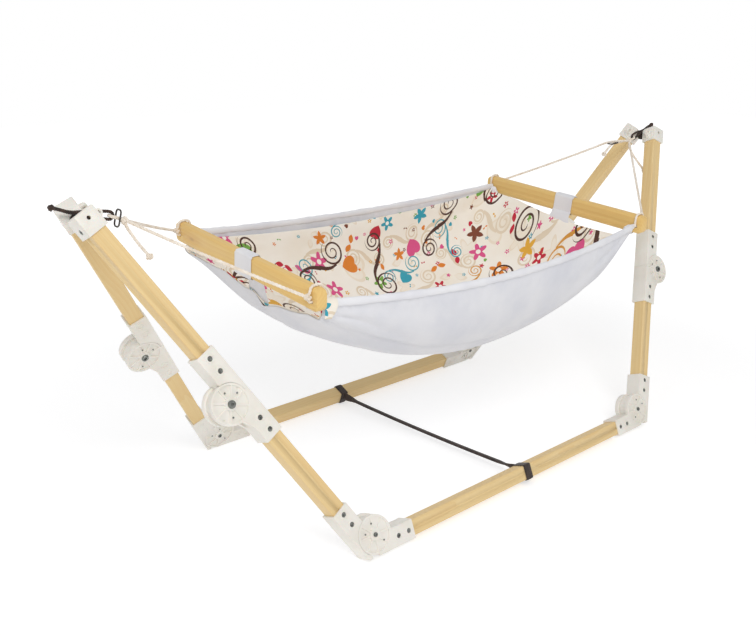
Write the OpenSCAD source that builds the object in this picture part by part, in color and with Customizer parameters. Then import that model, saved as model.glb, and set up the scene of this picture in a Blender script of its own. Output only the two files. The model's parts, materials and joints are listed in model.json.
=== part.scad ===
// Hammock cradle: a cloth cradle on two spreader bars, slung between the two tops of a folding timber stand.
// Millimetres, +Z up and X along the stand. The origin is on the floor under the middle of the stand.

/* [Stand] */
// Length of a side frame's base between its corner points
base_len = 840; // [800:1:900]
// Distance between the centre lines of the two base beams
base_spread = 570; // [550:1:590]
// How far the folding axis lies past the upper ends of the legs
axis_over = 11; // [5:1:30]
// Lean of the legs along the stand, from the vertical, in degrees
leg_lean = 27.7; // [26:0.1:29]
// Length of a leg from the corner point to the end of its cap
leg_len = 766; // [755:1:775]
// Distance from the middle plane of a side frame to the folding axis
axis_off = 25; // [25:0.5:28]
// Width of the square timber
timber_w = 30; // [28:0.5:30]
// Radius of the timber's edges
timber_edge_r = 2.5; // [1:0.5:4]

/* [Sleeves] */
// Wall of the moulded sleeves
sleeve_wall = 3.5; // [3:0.1:3.6]
// Gap between a timber and its sleeve
sleeve_gap = 0.15; // [0.1:0.05:0.2]
// Closed end of an apex cap
cap_end = 4; // [4:0.5:5]
// Length of an apex cap
cap_len = 38; // [36:1:44]
// Bevel on the inner edge of a cap's end, where two caps lean together
cap_bevel = 6; // [5:0.5:6]
// Bevel on the other edges of a cap's end
cap_edge = 2; // [1:0.5:3]
// Height that is taken off a corner bracket's lowest edge to make a foot
foot_trim = 1.5; // [1:0.1:2]

/* [Corner hinges] */
// Distance from the corner pivot to the centre lines of base and leg
corner_pivot = 21; // [21:0.5:23]
// Radius of the corner's two cheek discs
corner_disc_r = 36.5; // [34:0.5:37]
// Radius of the tongue between the cheeks
corner_tongue_r = 33; // [30:0.5:33]
// Length of a corner sleeve from the corner point
corner_reach = 100; // [96:1:110]
// First and second screw in a corner sleeve, from the corner point
corner_screw_a = 63; // [60:1:68]
corner_screw_b = 88; // [84:1:90]

/* [Knee hinges] */
// Distance of the knee pivot from the corner point, along the leg
knee_at = 380; // [370:1:385]
// Distance of the knee pivot outward from the leg's centre line
knee_off = 24; // [24:0.5:26]
// Radius of the knee's two cheek discs
knee_disc_r = 36; // [34:0.5:37]
// Radius of the tongue between the cheeks
knee_tongue_r = 32; // [30:0.5:32]
// Length of a knee sleeve from the pivot
knee_reach = 94; // [90:1:100]
// First and second screw in a knee sleeve, from the pivot
knee_screw_a = 53; // [50:1:58]
knee_screw_b = 80; // [76:1:83]

/* [Hinge fittings] */
// Thickness of a hinge tongue
tongue_t = 16.4; // [14:0.2:18]
// Gap on each side of a tongue
tongue_gap = 0.3; // [0.3:0.05:0.5]
// Gap between a disc and the arc cut round it
disc_gap = 0.6; // [0.6:0.1:1]
// Diameter of the hinge bolts
bolt_d = 8; // [6:0.5:10]
// Clearance of a bolt in its bore, on the radius
bolt_gap = 0.05; // [0.02:0.01:0.1]
// Diameter of the bolt heads and nuts
bolt_head_d = 14; // [12:0.5:16]
// Height of a bolt head or nut
bolt_head_h = 3.6; // [3:0.1:4]
// Height of the raised boss round a bolt
boss_h = 1.2; // [0.8:0.1:1.5]
// Width of that boss beyond the bolt head
boss_rim = 4; // [2:0.5:5]
// Depth of the ring that is sunk into a cheek disc
ring_depth = 2.4; // [1:0.1:3]
// Width of the plain rim round that ring
disc_rim = 4; // [3:0.5:6]
// Width of the ribs that cross the ring
rib_w = 3; // [2:0.5:4]
// Number of those ribs
rib_count = 8; // [4:1:12]

/* [Screws] */
// Diameter of a screw
screw_d = 4; // [3:0.5:5]
// Diameter of a screw head
screw_head_d = 9; // [7:0.5:10]
// Thickness of a screw head
screw_head_h = 1.6; // [1.2:0.1:2]
// Length of a screw under its head
screw_len = 20; // [16:1:22]
// Clearance round a screw and its head
screw_gap = 0.2; // [0.1:0.05:0.3]

/* [Spreader bars] */
// Thickness of a spreader bar along the stand
bar_t = 20; // [18:1:24]
// Height of a spreader bar
bar_h = 42; // [38:1:46]
// Length of a spreader bar
bar_len = 482; // [470:1:496]
// Radius of a spreader bar's ends
bar_end_r = 13; // [8:1:18]
// Rounding of a spreader bar's long edges
bar_round = 6; // [3:0.5:8]
// Place of the left bar along the stand
bar_left_x = -472; // [-480:1:-465]
// Place of the right bar along the stand
bar_right_x = 445; // [440:1:455]
// Diameter of the rope holes in the bars
rope_hole_d = 7.4; // [7:0.1:9]
// Distance of a rope hole from the end of its bar
rope_hole_in = 16; // [13:1:19]
// Height of a rope hole, below the middle of its bar
rope_hole_drop = 4; // [2:0.5:6]

/* [Hammock] */
// Height of the rim at the left bar, above the centre lines of the base beams
rim_left = 488; // [480:1:500]
// Height of the rim at the right bar
rim_right = 474; // [465:1:485]
// How far the cloth's edge at a bar stays inside the bar's end
rim_in = 20; // [17:1:36]
// How far the rim bulges outward at mid-length
rim_bulge = 34; // [15:1:40]
// How far the rim sags at mid-length
rim_sag = 26; // [10:1:35]
// Depth of the cloth at the bars
depth_end = 80; // [70:1:95]
// Depth of the cloth at mid-length
depth_mid = 235; // [200:1:250]
// How bluntly the depth falls off towards the ends
depth_power = 1.85; // [1.5:0.05:3]
// Squareness of the cloth's cross-section
section_power = 2.5; // [2:0.1:3]
// Share of the depth that the middle loops take up at the ends
end_lift = 0.4; // [0.2:0.05:0.5]
// Thickness of the outer cloth
cloth_t = 3; // [2:0.5:4]
// Thickness of the padded liner
liner_t = 4; // [3:0.5:6]
// Edge of the liner below the rim, as a share of the first facet of the cloth
liner_drop = 0.12; // [0.1:0.02:0.3]
// Distance from a bar's middle to the end of the cloth
cloth_end = 17; // [15:1:24]
// Radius of the rolled hem on the rim
hem_r = 5; // [4:0.5:6]
// Tilt of the hammock across the stand, as its ropes are set, in degrees
hang_roll = 4; // [0:0.5:5]

/* [Bands, cords and rings] */
// Width of the strap between the base beams
strap_w = 20; // [16:1:30]
// Thickness of the strap, and of the bands on the bars
strap_t = 2; // [1.5:0.1:2.5]
// Place of the strap's loop on the near beam, along the stand
strap_near_x = 8; // [-40:1:40]
// Place of the strap's loop on the far beam
strap_far_x = -42; // [-60:1:0]
// Width of the middle loops on the bars
loop_w = 56; // [30:1:64]
// How far a middle loop lies from the middle of its bar, towards the near side
loop_shift = 13; // [0:1:20]
// Width of the corner ties on the bars
tie_w = 18; // [10:1:20]
// Distance of a corner tie from the end of its bar
tie_in = 35; // [29:1:50]
// Diameter of the hammock's ropes
rope_d = 6; // [5:0.5:6.5]
// Diameter of the dark cords at the two tops
cord_d = 6; // [5:0.5:6.5]
// Diameter of the holes for the dark cords
cord_hole_d = 6.8; // [6.8:0.1:8]
// Distance of a cord hole from the end of its cap
cord_hole_in = 14; // [13:0.5:17]
// Thickness of the wire in the adjuster rings
wire_d = 3; // [2.5:0.1:3.2]
// Length of an adjuster ring, to the middle of its wire
ring_h = 28; // [26:1:32]
// Width of an adjuster ring, to the middle of its wire
ring_w = 18; // [17:0.5:20]
// Diameter of the rope knots
knot_d = 16; // [13:1:18]

/* [Hidden] */
NEAR = -1;
FAR = 1;
LEFT = -1;
RIGHT = 1;
SIDES = [NEAR, FAR];
ENDS = [LEFT, RIGHT];

// Facets: arcs, small holes, and the sides of a cord
$fn = 64;
hole_fn = 32;
cord_sides = 8;

// Corner tie: how far it stands above the middle of its bar, and how far its foot reaches outward from there
tie_rise = 9;
tie_foot = 5;

// Gap between soft pieces, and the room that a cutter takes past a face
soft_gap = 0.3;
cut = 1;

// Sleeve, and the tilt of a side frame that brings it to the folding axis
sleeve_w = timber_w + 2 * (sleeve_gap + sleeve_wall);
sleeve_half = sleeve_w / 2;
pocket_w = timber_w + 2 * sleeve_gap;
half_spread = base_spread / 2;
axis_rise = sqrt(pow(leg_len * cos(leg_lean) + axis_over, 2) + pow(axis_off, 2) - pow(half_spread, 2));
tilt = atan2(half_spread, axis_rise) - asin(axis_off / norm([half_spread, axis_rise]));
base_h = sleeve_half * (cos(tilt) + sin(tilt)) - foot_trim;

// Corner hinge: the corner point, the pivot's place and the depth of the timber pockets
corner_x = base_len / 2;
pivot_back = corner_pivot * (1 - sin(leg_lean)) / cos(leg_lean);
pivot_x = corner_x - pivot_back;
pocket_wall = 1.5;
corner_pocket = pivot_back + corner_disc_r + disc_gap + pocket_wall;
knee_pocket = knee_disc_r + disc_gap + pocket_wall;
slab_in = tongue_t / 2 + tongue_gap;

// Toe of the leg bracket outside the corner discs, and the web under a knee disc
toe_start = 0.45 * corner_disc_r;
web_drop = 26;
butt_gap = 0.3;

// Bolt and screw details
nut_sides = 6;
lock_hole_d = 4;
lock_hole_depth = 2;
screw_sink = screw_head_h + 0.4;

// Cap lug that leads the cord, and its eye
lug_t = 8;
lug_r = 6.5;
lug_out = 6;
lug_in = 17;
lug_base = 34;
eye_d = 6.4;
cap_screw_in = 25;

// Hammock grid: stations along the cloth and steps round its section
stations = 22;
steps = 18;
hem_sides = 6;
hang_z = (rim_left + rim_right) / 2;
rim_half = bar_len / 2 - rim_in;

// Places along a bar: rope holes, corner ties and the middle loop
rope_hole_y = bar_len / 2 - rope_hole_in;
tie_y = bar_len / 2 - tie_in;
loop_y = -loop_shift;

// Lashing: how far its cord runs straight out of a cap, and the lump of turns at its middle
lash_reach = (half_spread - leg_len * cos(leg_lean) * sin(tilt)) / cos(tilt);
lash_bend = sleeve_half + 0.55 * (lash_reach - sleeve_half);
lump_r = 10;
lump_rise = 3.2;

// Cord work at the tops. x is outward and z upward from the middle of the lashing.
left_ring = [-66.5, 0, -2.5];
right_ring = [-130.5, 0, -4];
right_knot = [-58.5, 0, -2.5];
left_pull = [0.91, 0, 0.41];
right_pull = [0.94, 0, 0.34];
left_ring_lean = 16;
right_ring_lean = 3;
sling_top = [[36.5, 2.5, 28.5], [25.5, 4, 24], [12.5, 4.2, 18.5], [0, 4.2, 16], [-14.5, 3.5, 15],
    [-27.5, 2, 14]];
sling_low = [[-26, -2, 5], [-14.5, -3.5, 12.4], [0, -4.2, 16], [12.5, -4.2, 18.5], [25.5, -4, 24],
    [36.5, -2.5, 28.5]];
sling_tip = [39, 0, 29.5];
sling_knot_r = 7;

// Loose rope ends, from the knot or ring that they hang from. In knot_end, y is times a side frame's slope.
left_end = [[0, 0, 0], [-3, -2, -12], [-10, -5, -27], [-20, -8, -45], [-30, -10, -60], [-34, -10, -66]];
ring_end = [[-27, -8, -9], [-37, -9, -15], [-46, -10, -22]];
knot_end = [[0, -3.7, -7.9], [0.5, -7.3, -18], [5, -29.2, -37], [13, -63.3, -58], [20, -87.7, -73],
    [22, -95, -79]];

// Ropes at the bars: the bend at a hole's inner mouth, the knot's height over the bar's middle, and the sag
rope_bend_r = 3.6;
bar_knot_rise = 6;
rope_sag = 2;
knot_r = knot_d / 2;
grip_r = 7.5;
grip_in = 11;
grip_out = 12;
loop_r = (rope_d + cord_d) / 2 + 0.4;
ring_to_loop = 9;
ring_cross = 5.15;
ring_lane = 3.3;
strand_y = 3.6;

// Places: a side frame lies in its own plane, with x along the base, z up the slope and y towards the middle
module near_frame() {
    translate([0, -half_spread, base_h]) rotate([-tilt, 0, 0]) children();
}

module side_frame(side) {
    if (side == NEAR) near_frame() children();
    else mirror([0, 1, 0]) near_frame() children();
}

module end_half(end) {
    if (end == RIGHT) children();
    else mirror([1, 0, 0]) children();
}

module place(side, end) {
    side_frame(side) end_half(end) children();
}

// A leg's own frame: z along the leg from the corner point, x outward, y towards the middle of the stand
module leg_frame() {
    translate([corner_x, 0, 0]) rotate([0, leg_lean, 0]) children();
}

// The hammock's frame, tilted about its own long middle line
module hang_frame() {
    translate([0, 0, base_h + hang_z]) rotate([hang_roll, 0, 0]) translate([0, 0, -hang_z]) children();
}

// Cords are given above the base beams' centre lines
module above_base() {
    translate([0, 0, base_h]) children();
}

// A flat outline in x and z, given a thickness from y0 to y1
module slab(y0, y1) {
    translate([0, y1, 0]) rotate([90, 0, 0]) linear_extrude(y1 - y0) children();
}

// The same outline on both sides of the middle plane, outside the tongue
module outer_slabs() {
    slab(slab_in, sleeve_half) children();
    slab(-sleeve_half, -slab_in) children();
}

module square_bar(len, w) {
    translate([-w / 2, -w / 2, 0]) cube([w, w, len]);
}

// Planed timber with its edges rounded over
module timber_bar(len) {
    flat = timber_w - 2 * timber_edge_r;
    linear_extrude(len) {
        square([timber_w, flat], center = true);
        square([flat, timber_w], center = true);
        for (a = [-1, 1], b = [-1, 1]) translate([a * flat / 2, b * flat / 2])
            circle(r = timber_edge_r, $fn = 24);
    }
}

module cross_hole(d) {
    rotate([90, 0, 0]) cylinder(h = 2 * (sleeve_w + cut), d = d, center = true, $fn = hole_fn);
}

// Screws go in from the outward face, which is the side of negative y
module side_screw() {
    rotate([-90, 0, 0]) {
        translate([0, 0, -sleeve_half + screw_sink - screw_head_h])
            cylinder(h = screw_head_h, d = screw_head_d, $fn = hole_fn);
        translate([0, 0, -sleeve_half + screw_sink])
            cylinder(h = screw_len, d = screw_d, $fn = hole_fn);
    }
}

module side_screw_hole() {
    rotate([-90, 0, 0]) {
        translate([0, 0, -sleeve_half - cut])
            cylinder(h = screw_sink + cut, d = screw_head_d + 2 * screw_gap, $fn = hole_fn);
        translate([0, 0, -sleeve_half])
            cylinder(h = screw_sink + screw_len + cut, d = screw_d + 2 * screw_gap, $fn = hole_fn);
    }
}

// The places of the screws in the base, in a lower leg and in an upper leg
module at_base_screws() {
    for (s = [corner_screw_a, corner_screw_b]) translate([corner_x - s, 0, 0]) children();
}

module at_lower_screws() {
    leg_frame() {
        for (s = [corner_screw_a, corner_screw_b]) translate([0, 0, s]) children();
        for (s = [knee_screw_a, knee_screw_b]) translate([0, 0, knee_at - s]) children();
    }
}

module at_knee_tongue_screws() {
    leg_frame() for (s = [knee_screw_a, knee_screw_b]) translate([0, 0, knee_at + s]) children();
}

// A cap's own screw comes in from the outer end of the stand
module at_cap_screw() {
    leg_frame() translate([0, 0, leg_len - cap_screw_in]) rotate([0, 0, 90]) children();
}

// Round bolt with a low dome on the outside and a low nut on the inside, along y
module hinge_bolt() {
    face = sleeve_half + boss_h;
    dome_r = (pow(bolt_head_d / 2, 2) + pow(bolt_head_h, 2)) / (2 * bolt_head_h);
    rotate([90, 0, 0]) {
        cylinder(h = 2 * face, d = bolt_d, center = true);
        translate([0, 0, face]) intersection() {
            cylinder(h = bolt_head_h, d = bolt_head_d);
            translate([0, 0, bolt_head_h - dome_r]) sphere(r = dome_r);
        }
        translate([0, 0, -face - bolt_head_h]) cylinder(h = bolt_head_h, d = bolt_head_d, $fn = nut_sides);
    }
}

module bolt_bore() {
    cross_hole(bolt_d + 2 * bolt_gap);
}

// The sunk ring with its ribs, on the face of a cheek disc
module ring_pattern(disc_r) {
    inner_r = bolt_head_d / 2 + boss_rim;
    difference() {
        circle(r = disc_r - disc_rim);
        circle(r = inner_r);
        for (k = [0:rib_count - 1]) rotate(k * 360 / rib_count) translate([0, -rib_w / 2])
            square([disc_r, rib_w]);
    }
}

module cheek_relief(disc_r) {
    slab(-sleeve_half - cut, -sleeve_half + ring_depth) ring_pattern(disc_r);
    slab(sleeve_half - ring_depth, sleeve_half + cut) ring_pattern(disc_r);
}

module cheek_boss() {
    r = bolt_head_d / 2 + boss_rim;
    rotate([90, 0, 0]) {
        translate([0, 0, slab_in]) cylinder(h = sleeve_half + boss_h - slab_in, r = r);
        translate([0, 0, -sleeve_half - boss_h]) cylinder(h = sleeve_half + boss_h - slab_in, r = r);
    }
}

// Outlines of the corner, in x and z of the side frame
module base_strip(x0, x1) {
    translate([x0, -sleeve_half]) square([x1 - x0, sleeve_w]);
}

module leg_strip(s0, s1) {
    translate([corner_x, 0]) rotate(-leg_lean) translate([-sleeve_half, s0]) square([sleeve_w, s1 - s0]);
}

module corner_circle(r) {
    translate([pivot_x, corner_pivot]) circle(r = r);
}

// The leg bracket's toe: it runs down outside the discs to the bottom corner
module corner_toe() {
    intersection() {
        leg_strip(-2 * sleeve_w, pivot_back + cut);
        translate([pivot_x + toe_start, -sleeve_half]) square([2 * sleeve_w, 2 * sleeve_w]);
    }
}

module at_corner_pivot() {
    translate([pivot_x, 0, corner_pivot]) children();
}

module at_knee_pivot() {
    leg_frame() translate([knee_off, 0, knee_at]) children();
}

// Corner hinge, base half: a sleeve on the beam and two cheek discs
module base_bracket(side, end) {
    sleeve_x = corner_x - corner_reach;
    color("ivory") difference() {
        place(side, end) difference() {
            union() {
                outer_slabs() {
                    base_strip(sleeve_x, pivot_x);
                    corner_circle(corner_disc_r);
                }
                slab(-slab_in, slab_in) difference() {
                    base_strip(sleeve_x, pivot_x);
                    corner_circle(corner_tongue_r + disc_gap);
                }
                at_corner_pivot() cheek_boss();
            }
            translate([corner_x - corner_pocket, 0, 0]) rotate([0, -90, 0])
                square_bar(corner_reach, pocket_w);
            at_base_screws() side_screw_hole();
            at_corner_pivot() {
                bolt_bore();
                cheek_relief(corner_disc_r);
            }
        }
        floor_cut();
    }
}

module floor_cut() {
    translate([0, 0, -sleeve_w / 2]) cube([2 * base_len, 2 * base_spread, sleeve_w], center = true);
}

// Corner hinge, leg half: a sleeve, a tongue between the discs and a toe outside them
module leg_bracket(side, end) {
    color("ivory") place(side, end) difference() {
        union() {
            outer_slabs() difference() {
                union() {
                    leg_strip(pivot_back, corner_reach);
                    corner_toe();
                }
                corner_circle(corner_disc_r + disc_gap);
            }
            slab(-tongue_t / 2, tongue_t / 2) {
                corner_circle(corner_tongue_r);
                leg_strip(pivot_back, corner_reach);
                corner_toe();
            }
            for (s = [-1, 1])
                slab(min(s * tongue_t / 2, s * slab_in), max(s * tongue_t / 2, s * slab_in)) difference() {
                union() {
                    leg_strip(pivot_back, corner_reach);
                    corner_toe();
                }
                corner_circle(corner_disc_r + disc_gap);
            }
        }
        leg_frame() translate([0, 0, corner_pocket]) square_bar(corner_reach, pocket_w);
        at_lower_screws() side_screw_hole();
        at_corner_pivot() bolt_bore();
    }
}

// Outlines of the knee, in x and z of the leg
module knee_strip(s0, s1) {
    translate([-sleeve_half, s0]) square([sleeve_w, s1 - s0]);
}

module knee_circle(r) {
    translate([knee_off, knee_at]) circle(r = r);
}

// Knee hinge, lower half: two cheek discs that stand out from the sleeve
module knee_clevis(side, end) {
    web_x = 2 * knee_off - sleeve_half - cut;
    color("ivory") place(side, end) leg_frame() difference() {
        union() {
            outer_slabs() {
                knee_strip(knee_at - knee_reach, knee_at - butt_gap / 2);
                knee_circle(knee_disc_r);
                polygon([[sleeve_half - cut, knee_at - knee_disc_r - web_drop],
                    [web_x, knee_at - knee_disc_r + cut], [sleeve_half - cut, knee_at]]);
            }
            slab(-slab_in, slab_in) difference() {
                knee_strip(knee_at - knee_reach, knee_at - butt_gap / 2);
                knee_circle(knee_tongue_r + disc_gap);
            }
            translate([knee_off, 0, knee_at]) cheek_boss();
        }
        translate([0, 0, knee_at - knee_reach - cut]) square_bar(knee_reach - knee_pocket + cut, pocket_w);
        for (s = [knee_screw_a, knee_screw_b]) translate([0, 0, knee_at - s]) side_screw_hole();
        translate([knee_off, 0, knee_at]) {
            bolt_bore();
            cheek_relief(knee_disc_r);
            knee_lock_holes();
        }
    }
}

// Shallow holes near the rim of a knee disc, between its ribs
module knee_lock_holes() {
    hole_at = knee_disc_r - disc_rim / 2 - lock_hole_d;
    for (a = [22.5, 202.5]) rotate([0, a, 0]) translate([hole_at, -sleeve_half + ring_depth, 0])
        rotate([90, 0, 0]) cylinder(h = 2 * lock_hole_depth, d = lock_hole_d, center = true, $fn = hole_fn);
}

// Knee hinge, upper half: a sleeve with a tongue, cut round the discs
module knee_tongue(side, end) {
    color("ivory") place(side, end) leg_frame() difference() {
        union() {
            slab(-tongue_t / 2, tongue_t / 2) {
                knee_circle(knee_tongue_r);
                knee_strip(knee_at + butt_gap / 2, knee_at + knee_reach);
            }
            for (s = [-1, 1]) slab(min(s * tongue_t / 2, s * sleeve_half), max(s * tongue_t / 2, s * sleeve_half))
                difference() {
                    knee_strip(knee_at + butt_gap / 2, knee_at + knee_reach);
                    knee_circle(knee_disc_r + disc_gap);
                }
        }
        translate([0, 0, knee_at + knee_pocket]) square_bar(knee_reach, pocket_w);
        for (s = [knee_screw_a, knee_screw_b]) translate([0, 0, knee_at + s]) side_screw_hole();
        translate([knee_off, 0, knee_at]) bolt_bore();
    }
}

// Apex cap: a closed sleeve with a cord hole through it and a lug with an eye on its inboard side
module apex_cap(side, end) {
    edge = cap_edge * sqrt(2);
    bevel = cap_bevel * sqrt(2);
    color("ivory") place(side, end) difference() {
        leg_frame() difference() {
            union() {
                translate([0, 0, leg_len - cap_len]) square_bar(cap_len, sleeve_w);
                slab(-lug_t / 2, lug_t / 2) difference() {
                    union() {
                        translate([-sleeve_half - lug_out, leg_len - lug_in]) circle(r = lug_r);
                        polygon([[-sleeve_half + cut, leg_len - lug_base], [-sleeve_half - lug_out - lug_r + cut,
                            leg_len - lug_in - lug_r / 2], [-sleeve_half - lug_out, leg_len - lug_in + lug_r],
                            [-sleeve_half + cut, leg_len - lug_in + lug_r]]);
                    }
                    translate([-sleeve_half - lug_out, leg_len - lug_in]) circle(d = eye_d, $fn = hole_fn);
                }
            }
            translate([0, 0, leg_len - cap_len - cut]) square_bar(cap_len - cap_end + cut, pocket_w);
            translate([0, 0, leg_len - cord_hole_in]) cross_hole(cord_hole_d);
            translate([0, sleeve_half, leg_len]) rotate([45, 0, 0])
                cube([2 * sleeve_w, bevel, bevel], center = true);
            translate([0, -sleeve_half, leg_len]) rotate([45, 0, 0])
                cube([2 * sleeve_w, edge, edge], center = true);
            for (x = [-sleeve_half, sleeve_half]) translate([x, 0, leg_len]) rotate([0, 45, 0])
                cube([edge, 2 * sleeve_w, edge], center = true);
        }
        at_cap_screw() side_screw_hole();
    }
}

// Timbers
module base_beam(side) {
    half = corner_x - corner_pocket;
    color("burlywood") side_frame(side) difference() {
        translate([-half, 0, 0]) rotate([0, 90, 0]) timber_bar(2 * half);
        for (end = ENDS) end_half(end) at_base_screws() side_screw_hole();
    }
}

module lower_leg(side, end) {
    color("burlywood") place(side, end) difference() {
        leg_frame() translate([0, 0, corner_pocket]) timber_bar(knee_at - knee_pocket - corner_pocket);
        at_lower_screws() side_screw_hole();
    }
}

module upper_leg(side, end) {
    start = knee_at + knee_pocket;
    color("burlywood") place(side, end) difference() {
        leg_frame() difference() {
            translate([0, 0, start]) timber_bar(leg_len - cap_end - start);
            translate([0, 0, leg_len - cord_hole_in]) cross_hole(cord_hole_d);
        }
        at_knee_tongue_screws() side_screw_hole();
        at_cap_screw() side_screw_hole();
    }
}

// Fasteners
module base_screws(side) {
    color("dimgray") for (end = ENDS) place(side, end) at_base_screws() side_screw();
}

module lower_screws(side, end) {
    color("dimgray") place(side, end) at_lower_screws() side_screw();
}

module upper_screws(side, end) {
    color("dimgray") place(side, end) {
        at_knee_tongue_screws() side_screw();
        at_cap_screw() side_screw();
    }
}

module corner_bolts(side) {
    color("silver") for (end = ENDS) place(side, end) at_corner_pivot() hinge_bolt();
}

module knee_bolt(side, end) {
    color("silver") place(side, end) at_knee_pivot() hinge_bolt();
}

// Strap between the base beams: a loop round each beam and a band across
module strap_loop(x) {
    inner = timber_w + 2 * soft_gap;
    translate([x, 0, 0]) difference() {
        cube([strap_w, inner + 2 * strap_t, inner + 2 * strap_t], center = true);
        cube([strap_w + cut, inner, inner], center = true);
    }
}

module spread_strap() {
    wall = timber_w / 2 + soft_gap + 0.7 * strap_t;
    run_y = base_spread - 2 * wall / cos(tilt);
    run_x = (strap_far_x - strap_near_x) * run_y / base_spread;
    color("saddlebrown") {
        side_frame(NEAR) strap_loop(strap_near_x);
        side_frame(FAR) strap_loop(strap_far_x);
        translate([(strap_near_x + strap_far_x) / 2, 0, base_h]) rotate([0, 0, -atan2(run_x, run_y)])
            cube([strap_w, norm([run_x, run_y]), strap_t], center = true);
    }
}

// Round cord along a list of points. turn is a direction that the cord never runs along.
function unit(v) = v / norm(v);
function cord_dir(p, i) = unit(p[min(i + 1, len(p) - 1)] - p[max(i - 1, 0)]);
function cord_ring(c, t, turn, r) =
    let (b = unit(turn - (turn * t) * t), n = cross(t, b))
    [for (k = [0:cord_sides - 1]) c + r * (cos(k * 360 / cord_sides) * b + sin(k * 360 / cord_sides) * n)];
function quads(i, m) = [for (k = [0:m - 1]) let (a = i * m + k, b = i * m + (k + 1) % m)
    each [[a, a + m, b + m], [a, b + m, b]]];

module cord(p, r, turn) {
    m = cord_sides;
    last = len(p) - 1;
    points = [for (i = [0:last]) each cord_ring(p[i], cord_dir(p, i), turn, r)];
    start = [for (k = [0:m - 1]) k];
    end = [for (k = [m - 1:-1:0]) last * m + k];
    polyhedron(points = points, faces = concat([start], [for (i = [0:last - 1]) each quads(i, m)], [end]));
}

module knot(at, r) {
    translate(at) sphere(r = r, $fn = 16);
}

// A lashing runs through the cord holes of a near and a far cap, with a lump of turns at its middle
function cap_point(y) =
    let (s = leg_len - cord_hole_in, z = s * cos(leg_lean))
    [corner_x + s * sin(leg_lean), -half_spread + y * cos(tilt) + z * sin(tilt), z * cos(tilt) - y * sin(tilt)];

module lashing(end) {
    near_half = [for (y = [-timber_w / 2, 0, sleeve_half, lash_bend]) cap_point(y)];
    far_half = [for (k = [len(near_half) - 1:-1:0]) let (p = near_half[k]) [p.x, -p.y, p.z]];
    color("saddlebrown") above_base() end_half(end) {
        cord(concat(near_half, far_half), cord_d / 2, [1, 0, 0]);
        knot(top([0, 0, lump_rise]), lump_r);
    }
}

// Points of the cord work, all for the right-hand end
function top(p) = let (m = cap_point(lash_bend)) [m.x + p.x, p.y, m.z + p.z];
function hang_point(x, y, z) =
    [x, y * cos(hang_roll) - (z - hang_z) * sin(hang_roll),
        hang_z + y * sin(hang_roll) + (z - hang_z) * cos(hang_roll)];
function mix(a, b, k) = a + k * (b - a);
function backward(list) = [for (i = [len(list) - 1:-1:0]) list[i]];
function moved(list, by) = [for (p = list) p + by];
function half_loop(c, a, b, r) = [for (t = [0:45:180]) c + r * (cos(t) * b + sin(t) * a)];

// A rope ends in an eye round its bar: from the knot over the top, down inside and back through the hole
function bar_knot(x, z, side) =
    hang_point(x + bar_t / 2 + soft_gap + knot_r, side * rope_hole_y, z + bar_knot_rise);
function bar_eye(x, z, side) =
    let (off = rope_d / 2 + soft_gap, r = bar_round + off, inside = bar_t / 2 + off,
        wide = bar_t / 2 - bar_round, high = bar_h / 2 - bar_round,
        mouth = [rope_bend_r - inside, rope_bend_r - rope_hole_drop])
    [for (p = concat([for (a = [0:30:90]) [wide + r * cos(a), high + r * sin(a)]],
            [for (a = [90:30:180]) [-wide + r * cos(a), high + r * sin(a)]],
            [for (a = [180:30:270]) mouth + rope_bend_r * [cos(a), sin(a)]],
            [[bar_t / 2 - 2, -rope_hole_drop], [inside + 1, 1 - rope_hole_drop]]))
        hang_point(x + p.x, side * rope_hole_y, z + p.y)];
function bar_route(x, z, side, goal) =
    let (start = bar_knot(x, z, side))
    concat([start],
        [for (k = [0.15, 0.4, 0.65, 0.87]) mix(start, goal, k) - [0, 0, rope_sag * 4 * k * (1 - k)]]);

// Knot and eye of a rope at its bar
module bar_hitch(x, z, side) {
    at = bar_knot(x, z, side);
    cord(concat([at], bar_eye(x, z, side), [at]), rope_d / 2, [0, 1, 0]);
    knot(at, knot_r);
}

// Left: one rope runs from bar to bar end through the ring and round the sling, and a knot holds the ring
module left_ropes() {
    x = -bar_left_x;
    pull = unit(left_pull);
    ring = top(left_ring);
    grip = ring - grip_in * pull;
    in_ring = [0, ring_w / 2 - (wire_d + rope_d) / 2 - soft_gap, 0];
    in_grip = [0, strand_y, 0];
    near_way = concat(bar_route(x, rim_left, NEAR, grip - in_grip), [grip - in_grip, ring - in_ring]);
    far_way = concat(bar_route(x, rim_left, FAR, grip + in_grip), [grip + in_grip, ring + in_ring]);
    color("linen") above_base() end_half(LEFT) {
        cord(concat(near_way, half_loop(ring + ring_to_loop * pull, pull, [0, -1, 0], loop_r),
            backward(far_way)), rope_d / 2, [-0.2, -0.7, 0.7]);
        cord(moved(left_end, grip), rope_d / 2, [0, 1, 0]);
        knot(grip, grip_r);
        knot(grip + left_end[len(left_end) - 1], knot_r);
        for (side = SIDES) bar_hitch(x, rim_left, side);
    }
}

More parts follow.
